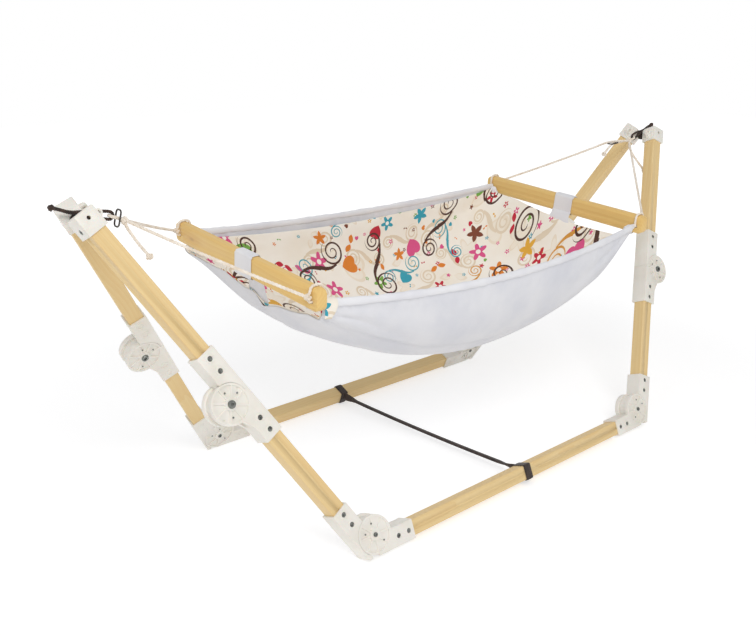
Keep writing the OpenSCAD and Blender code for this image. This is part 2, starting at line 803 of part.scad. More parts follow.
// Right: the far rope runs through the ring, round the sling and back, and the near rope joins it at a knot
module right_ropes() {
    x = bar_right_x;
    pull = unit(right_pull);
    grip = top(right_knot);
    ring = top(right_ring);
    e = [cos(right_ring_lean), 0, sin(right_ring_lean)];
    n = ring_lane * [-sin(right_ring_lean), 0, cos(right_ring_lean)];
    across = [0, ring_cross, 0];
    in_grip = [0, strand_y, 0];
    inner = ring - e * ring_h / 2;
    outer = ring + e * ring_h / 2;
    far_way = concat(bar_route(x, rim_right, FAR, inner + across + n),
        [inner + across + n, outer - across + n, grip - in_grip],
        half_loop(grip + grip_out * pull, pull, [0, -1, 0], loop_r),
        [grip + in_grip, outer + across - n, inner - across - n], moved(ring_end, ring));
    color("linen") above_base() {
        cord(concat(bar_route(x, rim_right, NEAR, grip), [grip]), rope_d / 2, [1, -1, 0]);
        cord(far_way, rope_d / 2, [-0.2, 0.7, 0.7]);
        knot(grip, grip_r);
        knot(far_way[len(far_way) - 1], knot_r);
        for (side = SIDES) bar_hitch(x, rim_right, side);
    }
}

module loose_rope_end() {
    route = moved([for (p = knot_end) [p.x, p.y * tan(tilt), p.z]], top(right_knot));
    color("linen") above_base() {
        cord(route, rope_d / 2, [1, 0, 0]);
        knot(route[len(route) - 1], knot_r);
    }
}

// A sling passes over the lashing from its outer knot, turns inside the rope's loop and comes back
module sling(end) {
    pull = unit(end == LEFT ? left_pull : right_pull);
    rope_loop = end == LEFT ? top(left_ring) + ring_to_loop * pull : top(right_knot) + grip_out * pull;
    centre = rope_loop + (2 * loop_r - (rope_d + cord_d) / 2 - soft_gap) * pull;
    route = concat([for (p = sling_top) top(p)], half_loop(centre, -pull, [-pull.z, 0, pull.x], loop_r),
        [for (p = sling_low) top(p)]);
    color("saddlebrown") above_base() end_half(end) {
        cord(route, cord_d / 2, [0, 1, 0]);
        knot(top(sling_tip), sling_knot_r);
    }
}

// Adjuster rings of bent wire: a rounded rectangle, long side upright. Sizes are to the middle of the wire.
module wire_ring() {
    bend = 6;
    y = ring_w / 2 - bend;
    z = ring_h / 2 - bend;
    for (s = [-1, 1]) {
        translate([0, s * (y + bend), 0]) cylinder(h = 2 * z, d = wire_d, center = true, $fn = 16);
        translate([0, 0, s * (z + bend)]) rotate([90, 0, 0])
            cylinder(h = 2 * y, d = wire_d, center = true, $fn = 16);
    }
    for (k = [0:3]) let (sy = [1, -1, -1, 1][k], sz = [1, 1, -1, -1][k])
        translate([0, sy * y, sz * z]) rotate([90, 0, 90]) rotate([0, 0, k * 90])
            rotate_extrude(angle = 90, $fn = 24) translate([bend, 0]) circle(d = wire_d, $fn = 16);
}

// The left ring stands across the pull, and the right one lies along it
module adjuster_rings() {
    color("dimgray") above_base() {
        end_half(LEFT) translate(top(left_ring)) rotate([0, -left_ring_lean, 0]) wire_ring();
        translate(top(right_ring)) rotate([0, -right_ring_lean, 0]) rotate([90, 0, 90]) wire_ring();
    }
}

// Spreader bars: boards on edge with rounded ends and a hole for each rope
module bar_outline() {
    y = bar_len / 2 - bar_end_r;
    z = bar_h / 2 - bar_end_r;
    square([bar_len, 2 * z], center = true);
    square([2 * y, bar_h], center = true);
    for (a = [-1, 1], b = [-1, 1]) translate([a * y, b * z]) circle(r = bar_end_r);
}

// Cross-section of a bar, with its long edges rounded
module bar_section() {
    x = bar_t / 2 - bar_round;
    z = bar_h / 2 - bar_round;
    square([bar_t, 2 * z], center = true);
    square([2 * x, bar_h], center = true);
    for (a = [-1, 1], b = [-1, 1]) translate([a * x, b * z]) circle(r = bar_round);
}

module spreader(x, z) {
    color("wheat") hang_frame() translate([x, 0, z]) difference() {
        intersection() {
            rotate([90, 0, 90]) linear_extrude(bar_t + 2 * cut, center = true) bar_outline();
            rotate([90, 0, 0]) linear_extrude(bar_len + 2 * cut, center = true) bar_section();
        }
        for (s = SIDES) translate([0, s * rope_hole_y, -rope_hole_drop]) rotate([0, 90, 0])
            cylinder(h = bar_t + 2 * cut, d = rope_hole_d, center = true, $fn = hole_fn);
    }
}

// Bands that hold the cloth to the bars: a wide loop in the middle and a tie near each end
module bar_loop() {
    difference() {
        cube([bar_t + 2 * (soft_gap + strap_t), loop_w, bar_h + 2 * (soft_gap + strap_t)], center = true);
        cube([bar_t + 2 * soft_gap, loop_w + cut, bar_h + 2 * soft_gap], center = true);
    }
}

// A tie grips the lower inner edge of a bar: a plate inside, a foot under it and a tab to the cloth
module corner_tie(tab) {
    face_x = bar_t / 2 + soft_gap;
    foot_z = -bar_h / 2 - soft_gap - strap_t;
    translate([face_x, -tie_w / 2, foot_z]) cube([strap_t, tie_w, tie_rise - foot_z]);
    translate([-tie_foot, -tie_w / 2, foot_z]) cube([tie_foot + face_x + cut, tie_w, strap_t]);
    translate([face_x, -tie_w / 2, -strap_t / 2]) cube([tab, tie_w, strap_t]);
}

// tail is the way from a bar towards the cloth: 1 on the left bar and -1 on the right one
module bands_on(x, z, tail) {
    foot_z = -bar_h / 2 - soft_gap - strap_t;
    foot_x = bar_t / 2 + soft_gap;
    edge_z = cloth_point(x + tail * cloth_end, 90, 0).z - z + cloth_t;
    tab = cloth_end - soft_gap - foot_x;
    translate([x, 0, z]) {
        translate([0, loop_y, 0]) {
            bar_loop();
            translate([tail > 0 ? foot_x : -foot_x - strap_t, -loop_w / 2, edge_z])
                cube([strap_t, loop_w, foot_z - edge_z + cut]);
            translate([tail > 0 ? foot_x : -foot_x - tab, -loop_w / 2, edge_z]) cube([tab, loop_w, strap_t]);
        }
        for (s = SIDES) translate([0, s * tie_y, 0]) mirror([tail > 0 ? 0 : 1, 0, 0]) corner_tie(tab);
    }
}

module bar_bands() {
    color("white") hang_frame() {
        bands_on(bar_left_x, rim_left, 1);
        bands_on(bar_right_x, rim_right, -1);
    }
}

// The cloth: along runs from -1 at the left bar to 1 at the right one, t goes round from rim to rim
function along(x) = 2 * (x - bar_left_x) / (bar_right_x - bar_left_x) - 1;
function rim_y(u) = rim_half + rim_bulge * (1 - u * u);
function rim_z(u) = (rim_left + rim_right) / 2 + (rim_right - rim_left) / 2 * u - rim_sag * (1 - u * u);
function lift(u) = 1 - end_lift * pow(max(0, abs(u) - 0.8) / 0.16, 2);
function depth(u) = (depth_end + (depth_mid - depth_end) * (1 - pow(abs(u), depth_power))) * lift(u);
function round_pow(v) = sign(v) * pow(abs(v), 2 / section_power);
function cloth_point(x, t, inset) =
    let (u = along(x))
    [x, (rim_y(u) - inset) * round_pow(cos(t)), rim_z(u) - (depth(u) - inset) * round_pow(sin(t))];

// Stations lie closer together near the bars, where the depth changes quickly
function station_x(i) =
    let (a = bar_left_x + cloth_end, b = bar_right_x - cloth_end, k = i / stations)
    (a + b) / 2 - (b - a) / 2 * cos(180 * k);

// A point of the section at step j. drop takes the two edge points down along their facets.
function layer_point(x, j, inset, drop) =
    let (a = cloth_point(x, j * 180 / steps, inset))
    j == 0 ? mix(a, cloth_point(x, 180 / steps, inset), drop)
    : j == steps ? mix(a, cloth_point(x, 180 - 180 / steps, inset), drop) : a;

// A layer of cloth from one inset to another
module cloth_layer(outer, inner, drop) {
    m = steps + 1;
    half = (stations + 1) * m;
    points = [for (inset = [outer, inner], i = [0:stations], j = [0:steps])
        layer_point(station_x(i), j, inset, drop)];
    walls = [for (i = [0:stations - 1], j = [0:steps - 1])
        let (a = i * m + j, b = a + m, c = half + a, d = half + b)
        each [[a, a + 1, b + 1], [a, b + 1, b], [c, d, d + 1], [c, d + 1, c + 1]]];
    rims = [for (i = [0:stations - 1])
        let (a = i * m, b = a + m, c = a + steps, d = b + steps)
        each [[a, b, half + b], [a, half + b, half + a], [c, half + c, half + d], [c, half + d, d]]];
    ends = [for (j = [0:steps - 1])
        let (a = j, b = stations * m + j)
        each [[a, half + a, half + a + 1], [a, half + a + 1, a + 1],
            [b, half + b + 1, half + b], [b, b + 1, half + b + 1]]];
    polyhedron(points = points, faces = concat(walls, rims, ends));
}

// Rolled hem along a rim
module hem(side) {
    lift_z = [0, 0, hem_r * cos(30) + soft_gap / 2];
    in_y = [0, -side * cloth_t / 2, 0];
    route = [for (i = [0:stations]) cloth_point(station_x(i), side == FAR ? 0 : 180, 0) + lift_z + in_y];
    cord(route, hem_r, [0, 0, 1]);
}

module hammock_cloth() {
    color("white") hang_frame() {
        cloth_layer(0, cloth_t, 0);
        for (side = SIDES) hem(side);
    }
}

module hammock_liner() {
    color("cornsilk") hang_frame() cloth_layer(cloth_t + soft_gap, cloth_t + soft_gap + liner_t, liner_drop);
}

base_beam(FAR);  // far_base_beam
base_beam(NEAR);  // near_base_beam
base_bracket(FAR, LEFT);  // far_left_base_bracket
base_bracket(FAR, RIGHT);  // far_right_base_bracket
base_bracket(NEAR, LEFT);  // near_left_base_bracket
base_bracket(NEAR, RIGHT);  // near_right_base_bracket
base_screws(FAR);  // far_base_screws
base_screws(NEAR);  // near_base_screws
corner_bolts(FAR);  // far_corner_bolts
corner_bolts(NEAR);  // near_corner_bolts
lower_leg(FAR, LEFT);  // far_left_lower_leg
lower_leg(FAR, RIGHT);  // far_right_lower_leg
lower_leg(NEAR, LEFT);  // near_left_lower_leg
lower_leg(NEAR, RIGHT);  // near_right_lower_leg
leg_bracket(FAR, LEFT);  // far_left_leg_bracket
leg_bracket(FAR, RIGHT);  // far_right_leg_bracket
leg_bracket(NEAR, LEFT);  // near_left_leg_bracket
leg_bracket(NEAR, RIGHT);  // near_right_leg_bracket
knee_clevis(FAR, LEFT);  // far_left_knee_clevis
knee_clevis(FAR, RIGHT);  // far_right_knee_clevis
knee_clevis(NEAR, LEFT);  // near_left_knee_clevis
knee_clevis(NEAR, RIGHT);  // near_right_knee_clevis
knee_bolt(FAR, LEFT);  // far_left_knee_bolt
knee_bolt(FAR, RIGHT);  // far_right_knee_bolt
knee_bolt(NEAR, LEFT);  // near_left_knee_bolt
knee_bolt(NEAR, RIGHT);  // near_right_knee_bolt
lower_screws(FAR, LEFT);  // far_left_lower_screws
lower_screws(FAR, RIGHT);  // far_right_lower_screws
lower_screws(NEAR, LEFT);  // near_left_lower_screws
lower_screws(NEAR, RIGHT);  // near_right_lower_screws
upper_leg(FAR, LEFT);  // far_left_upper_leg
upper_leg(FAR, RIGHT);  // far_right_upper_leg
upper_leg(NEAR, LEFT);  // near_left_upper_leg
upper_leg(NEAR, RIGHT);  // near_right_upper_leg
knee_tongue(FAR, LEFT);  // far_left_knee_tongue
knee_tongue(FAR, RIGHT);  // far_right_knee_tongue
knee_tongue(NEAR, LEFT);  // near_left_knee_tongue
knee_tongue(NEAR, RIGHT);  // near_right_knee_tongue
apex_cap(FAR, LEFT);  // far_left_apex_cap
apex_cap(FAR, RIGHT);  // far_right_apex_cap
apex_cap(NEAR, LEFT);  // near_left_apex_cap
apex_cap(NEAR, RIGHT);  // near_right_apex_cap
upper_screws(FAR, LEFT);  // far_left_upper_screws
upper_screws(FAR, RIGHT);  // far_right_upper_screws
upper_screws(NEAR, LEFT);  // near_left_upper_screws
upper_screws(NEAR, RIGHT);  // near_right_upper_screws
spread_strap();
lashing(LEFT);  // left_lashing
lashing(RIGHT);  // right_lashing
sling(LEFT);  // left_sling
sling(RIGHT);  // right_sling
adjuster_rings();
left_ropes();
right_ropes();
loose_rope_end();
spreader(bar_left_x, rim_left);  // left_spreader
spreader(bar_right_x, rim_right);  // right_spreader
bar_bands();
hammock_cloth();
hammock_liner();
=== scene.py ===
"""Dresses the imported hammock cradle: a studio, a folding timber stand, cord work and a lined hammock."""

import json
import logging
import math
from dataclasses import dataclass, field
from enum import Enum
from typing import Iterable, Optional, Sequence, Union

import bmesh
import bpy
import numpy as np
from mathutils import Matrix, Vector

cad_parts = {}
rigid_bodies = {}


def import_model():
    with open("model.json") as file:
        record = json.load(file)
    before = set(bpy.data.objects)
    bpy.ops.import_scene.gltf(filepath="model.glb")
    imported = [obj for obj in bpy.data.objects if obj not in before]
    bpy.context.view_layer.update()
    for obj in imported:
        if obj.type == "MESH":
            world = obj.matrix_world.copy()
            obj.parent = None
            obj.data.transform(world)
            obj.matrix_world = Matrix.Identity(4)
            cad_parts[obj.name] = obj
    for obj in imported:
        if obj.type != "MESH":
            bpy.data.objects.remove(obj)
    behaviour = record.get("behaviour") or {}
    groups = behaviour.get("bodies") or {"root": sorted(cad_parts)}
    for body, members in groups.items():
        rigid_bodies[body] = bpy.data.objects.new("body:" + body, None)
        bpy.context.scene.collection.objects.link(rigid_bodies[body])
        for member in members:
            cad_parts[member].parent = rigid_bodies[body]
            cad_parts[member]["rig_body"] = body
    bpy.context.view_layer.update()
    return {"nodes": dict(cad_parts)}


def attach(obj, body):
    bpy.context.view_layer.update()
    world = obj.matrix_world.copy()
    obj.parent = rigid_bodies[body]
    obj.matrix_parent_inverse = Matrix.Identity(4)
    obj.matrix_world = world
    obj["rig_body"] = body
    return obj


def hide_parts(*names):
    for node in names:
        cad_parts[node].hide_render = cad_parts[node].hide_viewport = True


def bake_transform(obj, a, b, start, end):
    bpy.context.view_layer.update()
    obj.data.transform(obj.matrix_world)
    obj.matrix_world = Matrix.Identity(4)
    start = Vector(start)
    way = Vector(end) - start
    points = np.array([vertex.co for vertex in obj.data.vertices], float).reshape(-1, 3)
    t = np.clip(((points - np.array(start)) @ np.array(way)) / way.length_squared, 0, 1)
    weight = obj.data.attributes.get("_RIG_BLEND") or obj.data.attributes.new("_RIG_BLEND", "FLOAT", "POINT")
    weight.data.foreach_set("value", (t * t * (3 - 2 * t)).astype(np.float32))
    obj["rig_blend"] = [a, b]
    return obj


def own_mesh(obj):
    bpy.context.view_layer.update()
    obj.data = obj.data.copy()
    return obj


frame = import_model()

log = logging.getLogger("hammock_cradle")
MM = 0.001
Points = np.ndarray
Thing = bpy.types.Object
Material = bpy.types.Material
Tree = bpy.types.NodeTree
Node = bpy.types.Node
Socket = bpy.types.NodeSocket
Solid = tuple[Points, list, Points]


class Side(Enum):
    """A side frame of the stand, with the sign of its place across it."""

    NEAR = -1
    FAR = 1


class End(Enum):
    """An end of the stand, with the sign of its place along it."""

    LEFT = -1
    RIGHT = 1


def word(choice: Enum) -> str:
    """The choice's name as the CAD nodes and bodies spell it."""
    return choice.name.lower()


def paint(red: int, green: int, blue: int) -> tuple[float, float, float, float]:
    """Turns a colour as a screen shows it into the linear colour that a shader takes.

    Args:
        red: Red from 0 to 255.
        green: Green from 0 to 255.
        blue: Blue from 0 to 255.

    Returns:
        Linear red, green, blue and an alpha of 1.
    """
    share = [c / 255 for c in (red, green, blue)]
    linear = [c / 12.92 if c <= 0.04045 else ((c + 0.055) / 1.055) ** 2.4 for c in share]
    return (*linear, 1.0)


def unit(vector: Sequence[float]) -> Points:
    """The vector at a length of one."""
    vector = np.asarray(vector, float)
    return vector / np.linalg.norm(vector)


# Sizes


@dataclass(frozen=True)
class Sizes:
    """The sizes of part.scad that the dressed pieces share with the solids, in millimetres and degrees."""

    base_len: float = 840
    base_spread: float = 570
    axis_over: float = 11
    leg_lean: float = 27.7
    leg_len: float = 766
    axis_off: float = 25
    timber_w: float = 30
    sleeve_wall: float = 3.5
    sleeve_gap: float = 0.15
    foot_trim: float = 1.5
    corner_pivot: float = 21
    corner_screws: tuple[float, float] = (63, 88)
    knee_at: float = 380
    knee_off: float = 24
    knee_screws: tuple[float, float] = (53, 80)
    cap_screw_in: float = 25
    cord_hole_in: float = 14
    screw_sink: float = 2.0
    boss_h: float = 1.2
    bar_t: float = 20
    bar_h: float = 42
    bar_len: float = 482
    bar_round: float = 6
    bar_left_x: float = -472
    bar_right_x: float = 445
    rope_hole_in: float = 16
    rope_hole_drop: float = 4
    rim_left: float = 488
    rim_right: float = 474
    rim_in: float = 20
    rim_bulge: float = 34
    rim_sag: float = 26
    depth_end: float = 80
    depth_mid: float = 235
    depth_power: float = 1.85
    section_power: float = 2.5
    end_lift: float = 0.4
    cloth_t: float = 3
    liner_t: float = 4
    cloth_end: float = 17
    hem_r: float = 5
    hang_roll: float = 4
    strap_w: float = 20
    strap_t: float = 2
    strap_near_x: float = 8
    strap_far_x: float = -42
    loop_w: float = 56
    loop_shift: float = 13
    tie_w: float = 18
    tie_in: float = 35
    tie_foot: float = 5
    rope_d: float = 6
    wire_d: float = 3
    ring_h: float = 28
    ring_w: float = 18
    knot_d: float = 16
    soft_gap: float = 0.3

    @property
    def sleeve_half(self) -> float:
        """Half the width of a moulded sleeve."""
        return self.timber_w / 2 + self.sleeve_gap + self.sleeve_wall

    @property
    def half_spread(self) -> float:
        """Distance from the middle of the stand to a base beam."""
        return self.base_spread / 2

    @property
    def axis_rise(self) -> float:
        """Height of the folding axis over the base beams' centre lines."""
        along = self.leg_len * math.cos(math.radians(self.leg_lean)) + self.axis_over
        return math.sqrt(along**2 + self.axis_off**2 - self.half_spread**2)

    @property
    def rope_hole_y(self) -> float:
        """Distance of a rope hole from the middle of its bar."""
        return self.bar_len / 2 - self.rope_hole_in

    @property
    def rim_half(self) -> float:
        """Half the width of the cloth at the bars."""
        return self.bar_len / 2 - self.rim_in

    @property
    def tie_y(self) -> float:
        """Distance of a corner tie from the middle of its bar."""
        return self.bar_len / 2 - self.tie_in

    @property
    def loop_y(self) -> float:
        """Place of a middle loop along its bar."""
        return -self.loop_shift

    @property
    def tilt(self) -> float:
        """Lean of a side frame towards the folding axis, in radians."""
        reach = math.hypot(self.half_spread, self.axis_rise)
        return math.atan2(self.half_spread, self.axis_rise) - math.asin(self.axis_off / reach)

    @property
    def base_h(self) -> float:
        """Height of the base beams' centre lines over the floor."""
        return self.sleeve_half * (math.cos(self.tilt) + math.sin(self.tilt)) - self.foot_trim

    @property
    def corner_x(self) -> float:
        """Place of a corner point along the stand."""
        return self.base_len / 2

    @property
    def pivot_x(self) -> float:
        """Place of a corner pivot along the stand."""
        lean = math.radians(self.leg_lean)
        return self.corner_x - self.corner_pivot * (1 - math.sin(lean)) / math.cos(lean)

    @property
    def hang_z(self) -> float:
        """Height of the line that the hammock is tilted about, over the base beams."""
        return (self.rim_left + self.rim_right) / 2


SIZES = Sizes()


class Places:
    """The frames that part.scad lays its parts in, as 4 by 4 matrices in millimetres."""

    @staticmethod
    def side(side: Side) -> Matrix:
        """A side frame's own plane: x along the base, z up the slope, y towards the middle."""
        near = Matrix.Translation((0, -SIZES.half_spread, SIZES.base_h)) @ Matrix.Rotation(-SIZES.tilt, 4, "X")
        return near if side is Side.NEAR else Matrix.Diagonal((1, -1, 1, 1)) @ near

    @staticmethod
    def end(side: Side, end: End) -> Matrix:
        """The half of a side frame at one end, mirrored for the left one."""
        return Places.side(side) @ Matrix.Diagonal((end.value, 1, 1, 1))

    @staticmethod
    def leg(side: Side, end: End) -> Matrix:
        """A leg's own frame: z along the leg, x outward."""
        lean = Matrix.Rotation(math.radians(SIZES.leg_lean), 4, "Y")
        return Places.end(side, end) @ Matrix.Translation((SIZES.corner_x, 0, 0)) @ lean

    @staticmethod
    def hammock() -> Matrix:
        """The hammock's frame, tilted about its own long middle line."""
        roll = Matrix.Rotation(math.radians(SIZES.hang_roll), 4, "X")
        up = Matrix.Translation((0, 0, SIZES.base_h + SIZES.hang_z))
        return up @ roll @ Matrix.Translation((0, 0, -SIZES.hang_z))

    @staticmethod
    def above_base() -> Matrix:
        """Heights over the base beams' centre lines."""
        return Matrix.Translation((0, 0, SIZES.base_h))


def carried(points: Points, place: Matrix) -> Points:
    """Moves points by a matrix.

    Args:
        points: Points in rows.
        place: The 4 by 4 matrix.

    Returns:
        The moved points in rows.
    """
    m = np.array(place, float)
    return np.asarray(points, float) @ m[:3, :3].T + m[:3, 3]


# Node trees

Value = Union[float, Sequence[float], Socket]


class Nodes:
    """Short calls that make and join the nodes of one tree."""

    def __init__(self, tree: Tree) -> None:
        self.tree = tree

    def add(self, kind: str, inputs: Optional[dict] = None, **settings: object) -> Node:
        """Makes a node.

        Args:
            kind: The node's type name.
            inputs: Values or sockets by input name or number.
            settings: The node's own properties.

        Returns:
            The node.
        """
        node = self.tree.nodes.new(kind)
        for name, value in settings.items():
            setattr(node, name, value)
        for key, value in (inputs or {}).items():
            self.feed(node.inputs[key], value)
        return node

    def feed(self, socket: Socket, value: Value) -> None:
        """Joins or sets one input."""
        if isinstance(value, Socket):
            self.tree.links.new(value, socket)
        else:
            socket.default_value = value

    def math(self, operation: str, *values: Value, clamp: bool = False) -> Socket:
        """A math node's result."""
        node = self.add("ShaderNodeMath", dict(enumerate(values)), operation=operation, use_clamp=clamp)
        return node.outputs[0]

    def times(self, *values: Value, clamp: bool = False) -> Socket:
        """The product of two values."""
        return self.math("MULTIPLY", *values, clamp=clamp)

    def plus(self, *values: Value, clamp: bool = False) -> Socket:
        """The sum of two values."""
        return self.math("ADD", *values, clamp=clamp)

    def minus(self, *values: Value, clamp: bool = False) -> Socket:
        """The first value less the second."""
        return self.math("SUBTRACT", *values, clamp=clamp)

    def over(self, *values: Value) -> Socket:
        """The first value over the second."""
        return self.math("DIVIDE", *values)

    def below(self, *values: Value) -> Socket:
        """1 where the first value is less than the second."""
        return self.math("LESS_THAN", *values)

    def above(self, *values: Value) -> Socket:
        """1 where the first value is more than the second."""
        return self.math("GREATER_THAN", *values)

    def three(self, x: Value, y: Value, z: Value) -> Socket:
        """A vector of three values."""
        return self.add("ShaderNodeCombineXYZ", {0: x, 1: y, 2: z}).outputs[0]

    def split(self, vector: Value) -> bpy.types.NodeOutputs:
        """The three parts of a vector."""
        return self.add("ShaderNodeSeparateXYZ", {0: vector}).outputs

    def waves(self, value: Value, length: float) -> Socket:
        """Ridges from 0 to 1 over a distance, each of one length."""
        return self.math("ABSOLUTE", self.math("SINE", self.times(value, math.pi / length)))

    def scatter(self, vector: Value, cell: Value, shift: Value, loose: float) -> tuple[Node, Socket]:
        """Cells of a loose grid, one motif in each.

        Args:
            vector: The pattern's place in metres.
            cell: The cells' width.
            shift: Where the grid starts.
            loose: How far the cells stray from an even grid.

        Returns:
            Three chances for each cell, and the place from its middle, turned by the first chance.
        """
        rate = self.over(1.0, cell)
        spot = self.vector("ADD", self.vector("MULTIPLY", vector, self.three(rate, rate, 0.0)), shift)
        inputs = {"Vector": spot, "Scale": 1.0, "Randomness": loose}
        cells = self.add("ShaderNodeTexVoronoi", inputs, voronoi_dimensions="2D")
        chance = self.add("ShaderNodeSeparateColor", {0: cells.outputs["Color"]})
        local = self.vector("SUBTRACT", spot, cells.outputs["Position"])
        turned = {"Vector": local, "Angle": self.times(chance.outputs[0], 2 * math.pi)}
        spin = self.add("ShaderNodeVectorRotate", turned, rotation_type="Z_AXIS").outputs[0]
        return chance, spin

    def vector(self, operation: str, *values: Value) -> Socket:
        """A vector math node's first result."""
        node = self.add("ShaderNodeVectorMath", dict(enumerate(values)), operation=operation)
        return node.outputs[1 if operation in ("LENGTH", "DISTANCE", "DOT_PRODUCT") else 0]

    def scaled(self, vector: Value, by: Sequence[float]) -> Socket:
        """The vector times three factors."""
        return self.vector("MULTIPLY", vector, by)

    def blend(self, share: Value, low: Value, high: Value) -> Socket:
        """A colour between two others."""
        node = self.add("ShaderNodeMix", {0: share, 6: low, 7: high}, data_type="RGBA")
        return node.outputs[2]

    def noise(self, vector: Value, scale: float, detail: float = 2, rough: float = 0.5) -> Socket:
        """A noise texture's value."""
        inputs = {"Vector": vector, "Scale": scale, "Detail": detail, "Roughness": rough}
        return self.add("ShaderNodeTexNoise", inputs).outputs[0]

    def remap(self, value: Value, low: Value, high: Value, out_low: Value = 0.0,
              out_high: Value = 1.0) -> Socket:
        """A value moved smoothly from one range to another, and held inside it."""
        inputs = {0: value, 1: low, 2: high, 3: out_low, 4: out_high}
        return self.add("ShaderNodeMapRange", inputs, interpolation_type="SMOOTHSTEP").outputs[0]

    def ramp(self, value: Value, stops: Sequence[tuple[float, tuple]], sharp: bool = False) -> Socket:
        """A colour ramp's colour.

        Args:
            value: The place on the ramp.
            stops: Places and linear colours.
            sharp: Whether the colours change in steps.

        Returns:
            The colour's socket.
        """
        node = self.add("ShaderNodeValToRGB", {0: value})
        bar = node.color_ramp
        bar.interpolation = "CONSTANT" if sharp else "LINEAR"
        while len(bar.elements) < len(stops):
            bar.elements.new(1.0)
        for element, (place, colour) in zip(bar.elements, stops):
            element.position = place
            element.color = colour
        return node.outputs[0]

    def use(self, group: Tree, **inputs: Value) -> Node:
        """Places a shader group; an input's name has its spaces as underscores."""
        node = self.add("ShaderNodeGroup")
        node.node_tree = group
        for name, value in inputs.items():
            self.feed(node.inputs[name.replace("_", " ")], value)
        return node


def shader_group(name: str, inputs: dict[str, object],
                 outputs: dict[str, str]) -> tuple[Tree, Nodes, dict, Node]:
    """Starts a shader group.

    Args:
        name: The group's name.
        inputs: Default values by name; three numbers make a vector and four a colour.
        outputs: Socket types by name.

    Returns:
        The tree, its Nodes, its input sockets by name, and its output node.
    """
    tree = bpy.data.node_groups.new(name, "ShaderNodeTree")
    for title, value in inputs.items():
        count = len(value) if hasattr(value, "__len__") else 1
        kind = {1: "NodeSocketFloat", 3: "NodeSocketVector", 4: "NodeSocketColor"}[count]
        socket = tree.interface.new_socket(title, in_out="INPUT", socket_type=kind)
        socket.default_value = value
    for title, kind in outputs.items():
        tree.interface.new_socket(title, in_out="OUTPUT", socket_type=kind)
    nodes = Nodes(tree)
    start = nodes.add("NodeGroupInput")
    end = nodes.add("NodeGroupOutput")
    return tree, nodes, {title: start.outputs[title] for title in inputs}, end


def tone_group() -> Tree:
    """Cloudy change of tone and roughness, as handling and uneven dye leave on any finish."""
    tree, n, given, end = shader_group(
        "cloudy_tone",
        {"Vector": (0, 0, 0), "Colour": (1, 1, 1, 1), "Other Colour": (1, 1, 1, 1), "Scale": 12.0,
         "Roughness": 0.5, "Spread": 0.1},
        {"Colour": "NodeSocketColor", "Roughness": "NodeSocketFloat"},
    )
    inputs = {"Vector": given["Vector"], "Scale": given["Scale"], "Detail": 4.0}
    cloud = n.add("ShaderNodeTexNoise", inputs).outputs[0]
    share = n.remap(cloud, 0.35, 0.68)
    n.feed(end.inputs["Colour"], n.blend(share, given["Colour"], given["Other Colour"]))
    shift = n.times(n.minus(cloud, 0.5), given["Spread"])
    n.feed(end.inputs["Roughness"], n.plus(given["Roughness"], shift))
    return tree


def weave_group() -> Tree:
    """Plain weave of crossing threads over a flat pattern vector in metres, with an uneven yarn."""
    tree, n, given, end = shader_group(
        "plain_weave", {"Vector": (0, 0, 0), "Thread": 0.0008, "Slub": 0.4}, {"Height": "NodeSocketFloat"}
    )
    rate = n.over(math.pi, given["Thread"])
    split = n.split(n.vector("MULTIPLY", given["Vector"], n.three(rate, rate, rate)))
    weave = n.plus(*[n.math("ABSOLUTE", n.math("SINE", split[k])) for k in (0, 1)])
    yarn = n.noise(n.scaled(given["Vector"], (260, 1600, 1)), 1.0, 2)
    slub = n.times(yarn, given["Slub"])
    n.feed(end.inputs["Height"], n.plus(n.times(weave, 0.5), slub))
    return tree


def grain_group() -> Tree:
    """Sawn softwood: growth rings seen along the board, fine fibres, and a few knots."""
    tree, n, given, end = shader_group(
        "softwood_grain",
        {"Vector": (0, 0, 0), "Early Wood": (1, 1, 1, 1), "Late Wood": (1, 1, 1, 1), "Knot": (1, 1, 1, 1),
         "Contrast": 0.6},
        {"Colour": "NodeSocketColor", "Height": "NodeSocketFloat", "Knots": "NodeSocketFloat"},
    )
    v = given["Vector"]
    sway = n.noise(n.scaled(v, (9, 9, 2.2)), 1.0, 2)
    shift = n.times(n.minus(sway, 0.5), 0.05)
    bent = n.vector("ADD", v, n.three(shift, shift, 0.0))
    wave = {"Vector": n.scaled(bent, (1, 1, 0.04)), "Scale": 42.0, "Distortion": 3.2, "Detail": 2.0,
            "Detail Scale": 1.4}
    rings = n.add("ShaderNodeTexWave", wave, wave_type="RINGS", rings_direction="Z", wave_profile="SAW").outputs[1]
    fibres = n.noise(n.scaled(v, (900, 900, 14)), 1.0, 3, 0.6)
    broad = n.noise(n.scaled(v, (70, 70, 3)), 1.0, 2)
    cells = n.add("ShaderNodeTexVoronoi", {"Vector": n.scaled(v, (14, 14, 5.2)), "Scale": 1.0, "Randomness": 1.0})
    chance = n.add("ShaderNodeSeparateColor", {0: cells.outputs["Color"]})
    rare = n.above(chance.outputs[0], 0.6)
    knots = n.times(n.remap(cells.outputs["Distance"], 0.11, 0.05), rare)
    halo = n.times(n.remap(cells.outputs["Distance"], 0.3, 0.08), rare)
    dark = n.plus(n.times(rings, 0.55), n.times(n.remap(fibres, 0.38, 0.72), 0.35))
    dark = n.plus(dark, n.times(n.remap(broad, 0.35, 0.7), 0.25))
    dark = n.plus(n.times(dark, given["Contrast"]), n.times(halo, 0.35), clamp=True)
    wood = n.blend(dark, given["Early Wood"], given["Late Wood"])
    n.feed(end.inputs["Colour"], n.blend(n.times(knots, 0.8), wood, given["Knot"]))
    n.feed(end.inputs["Height"], n.plus(n.times(rings, 0.3), n.times(fibres, 0.7)))
    n.feed(end.inputs["Knots"], knots)
    return tree


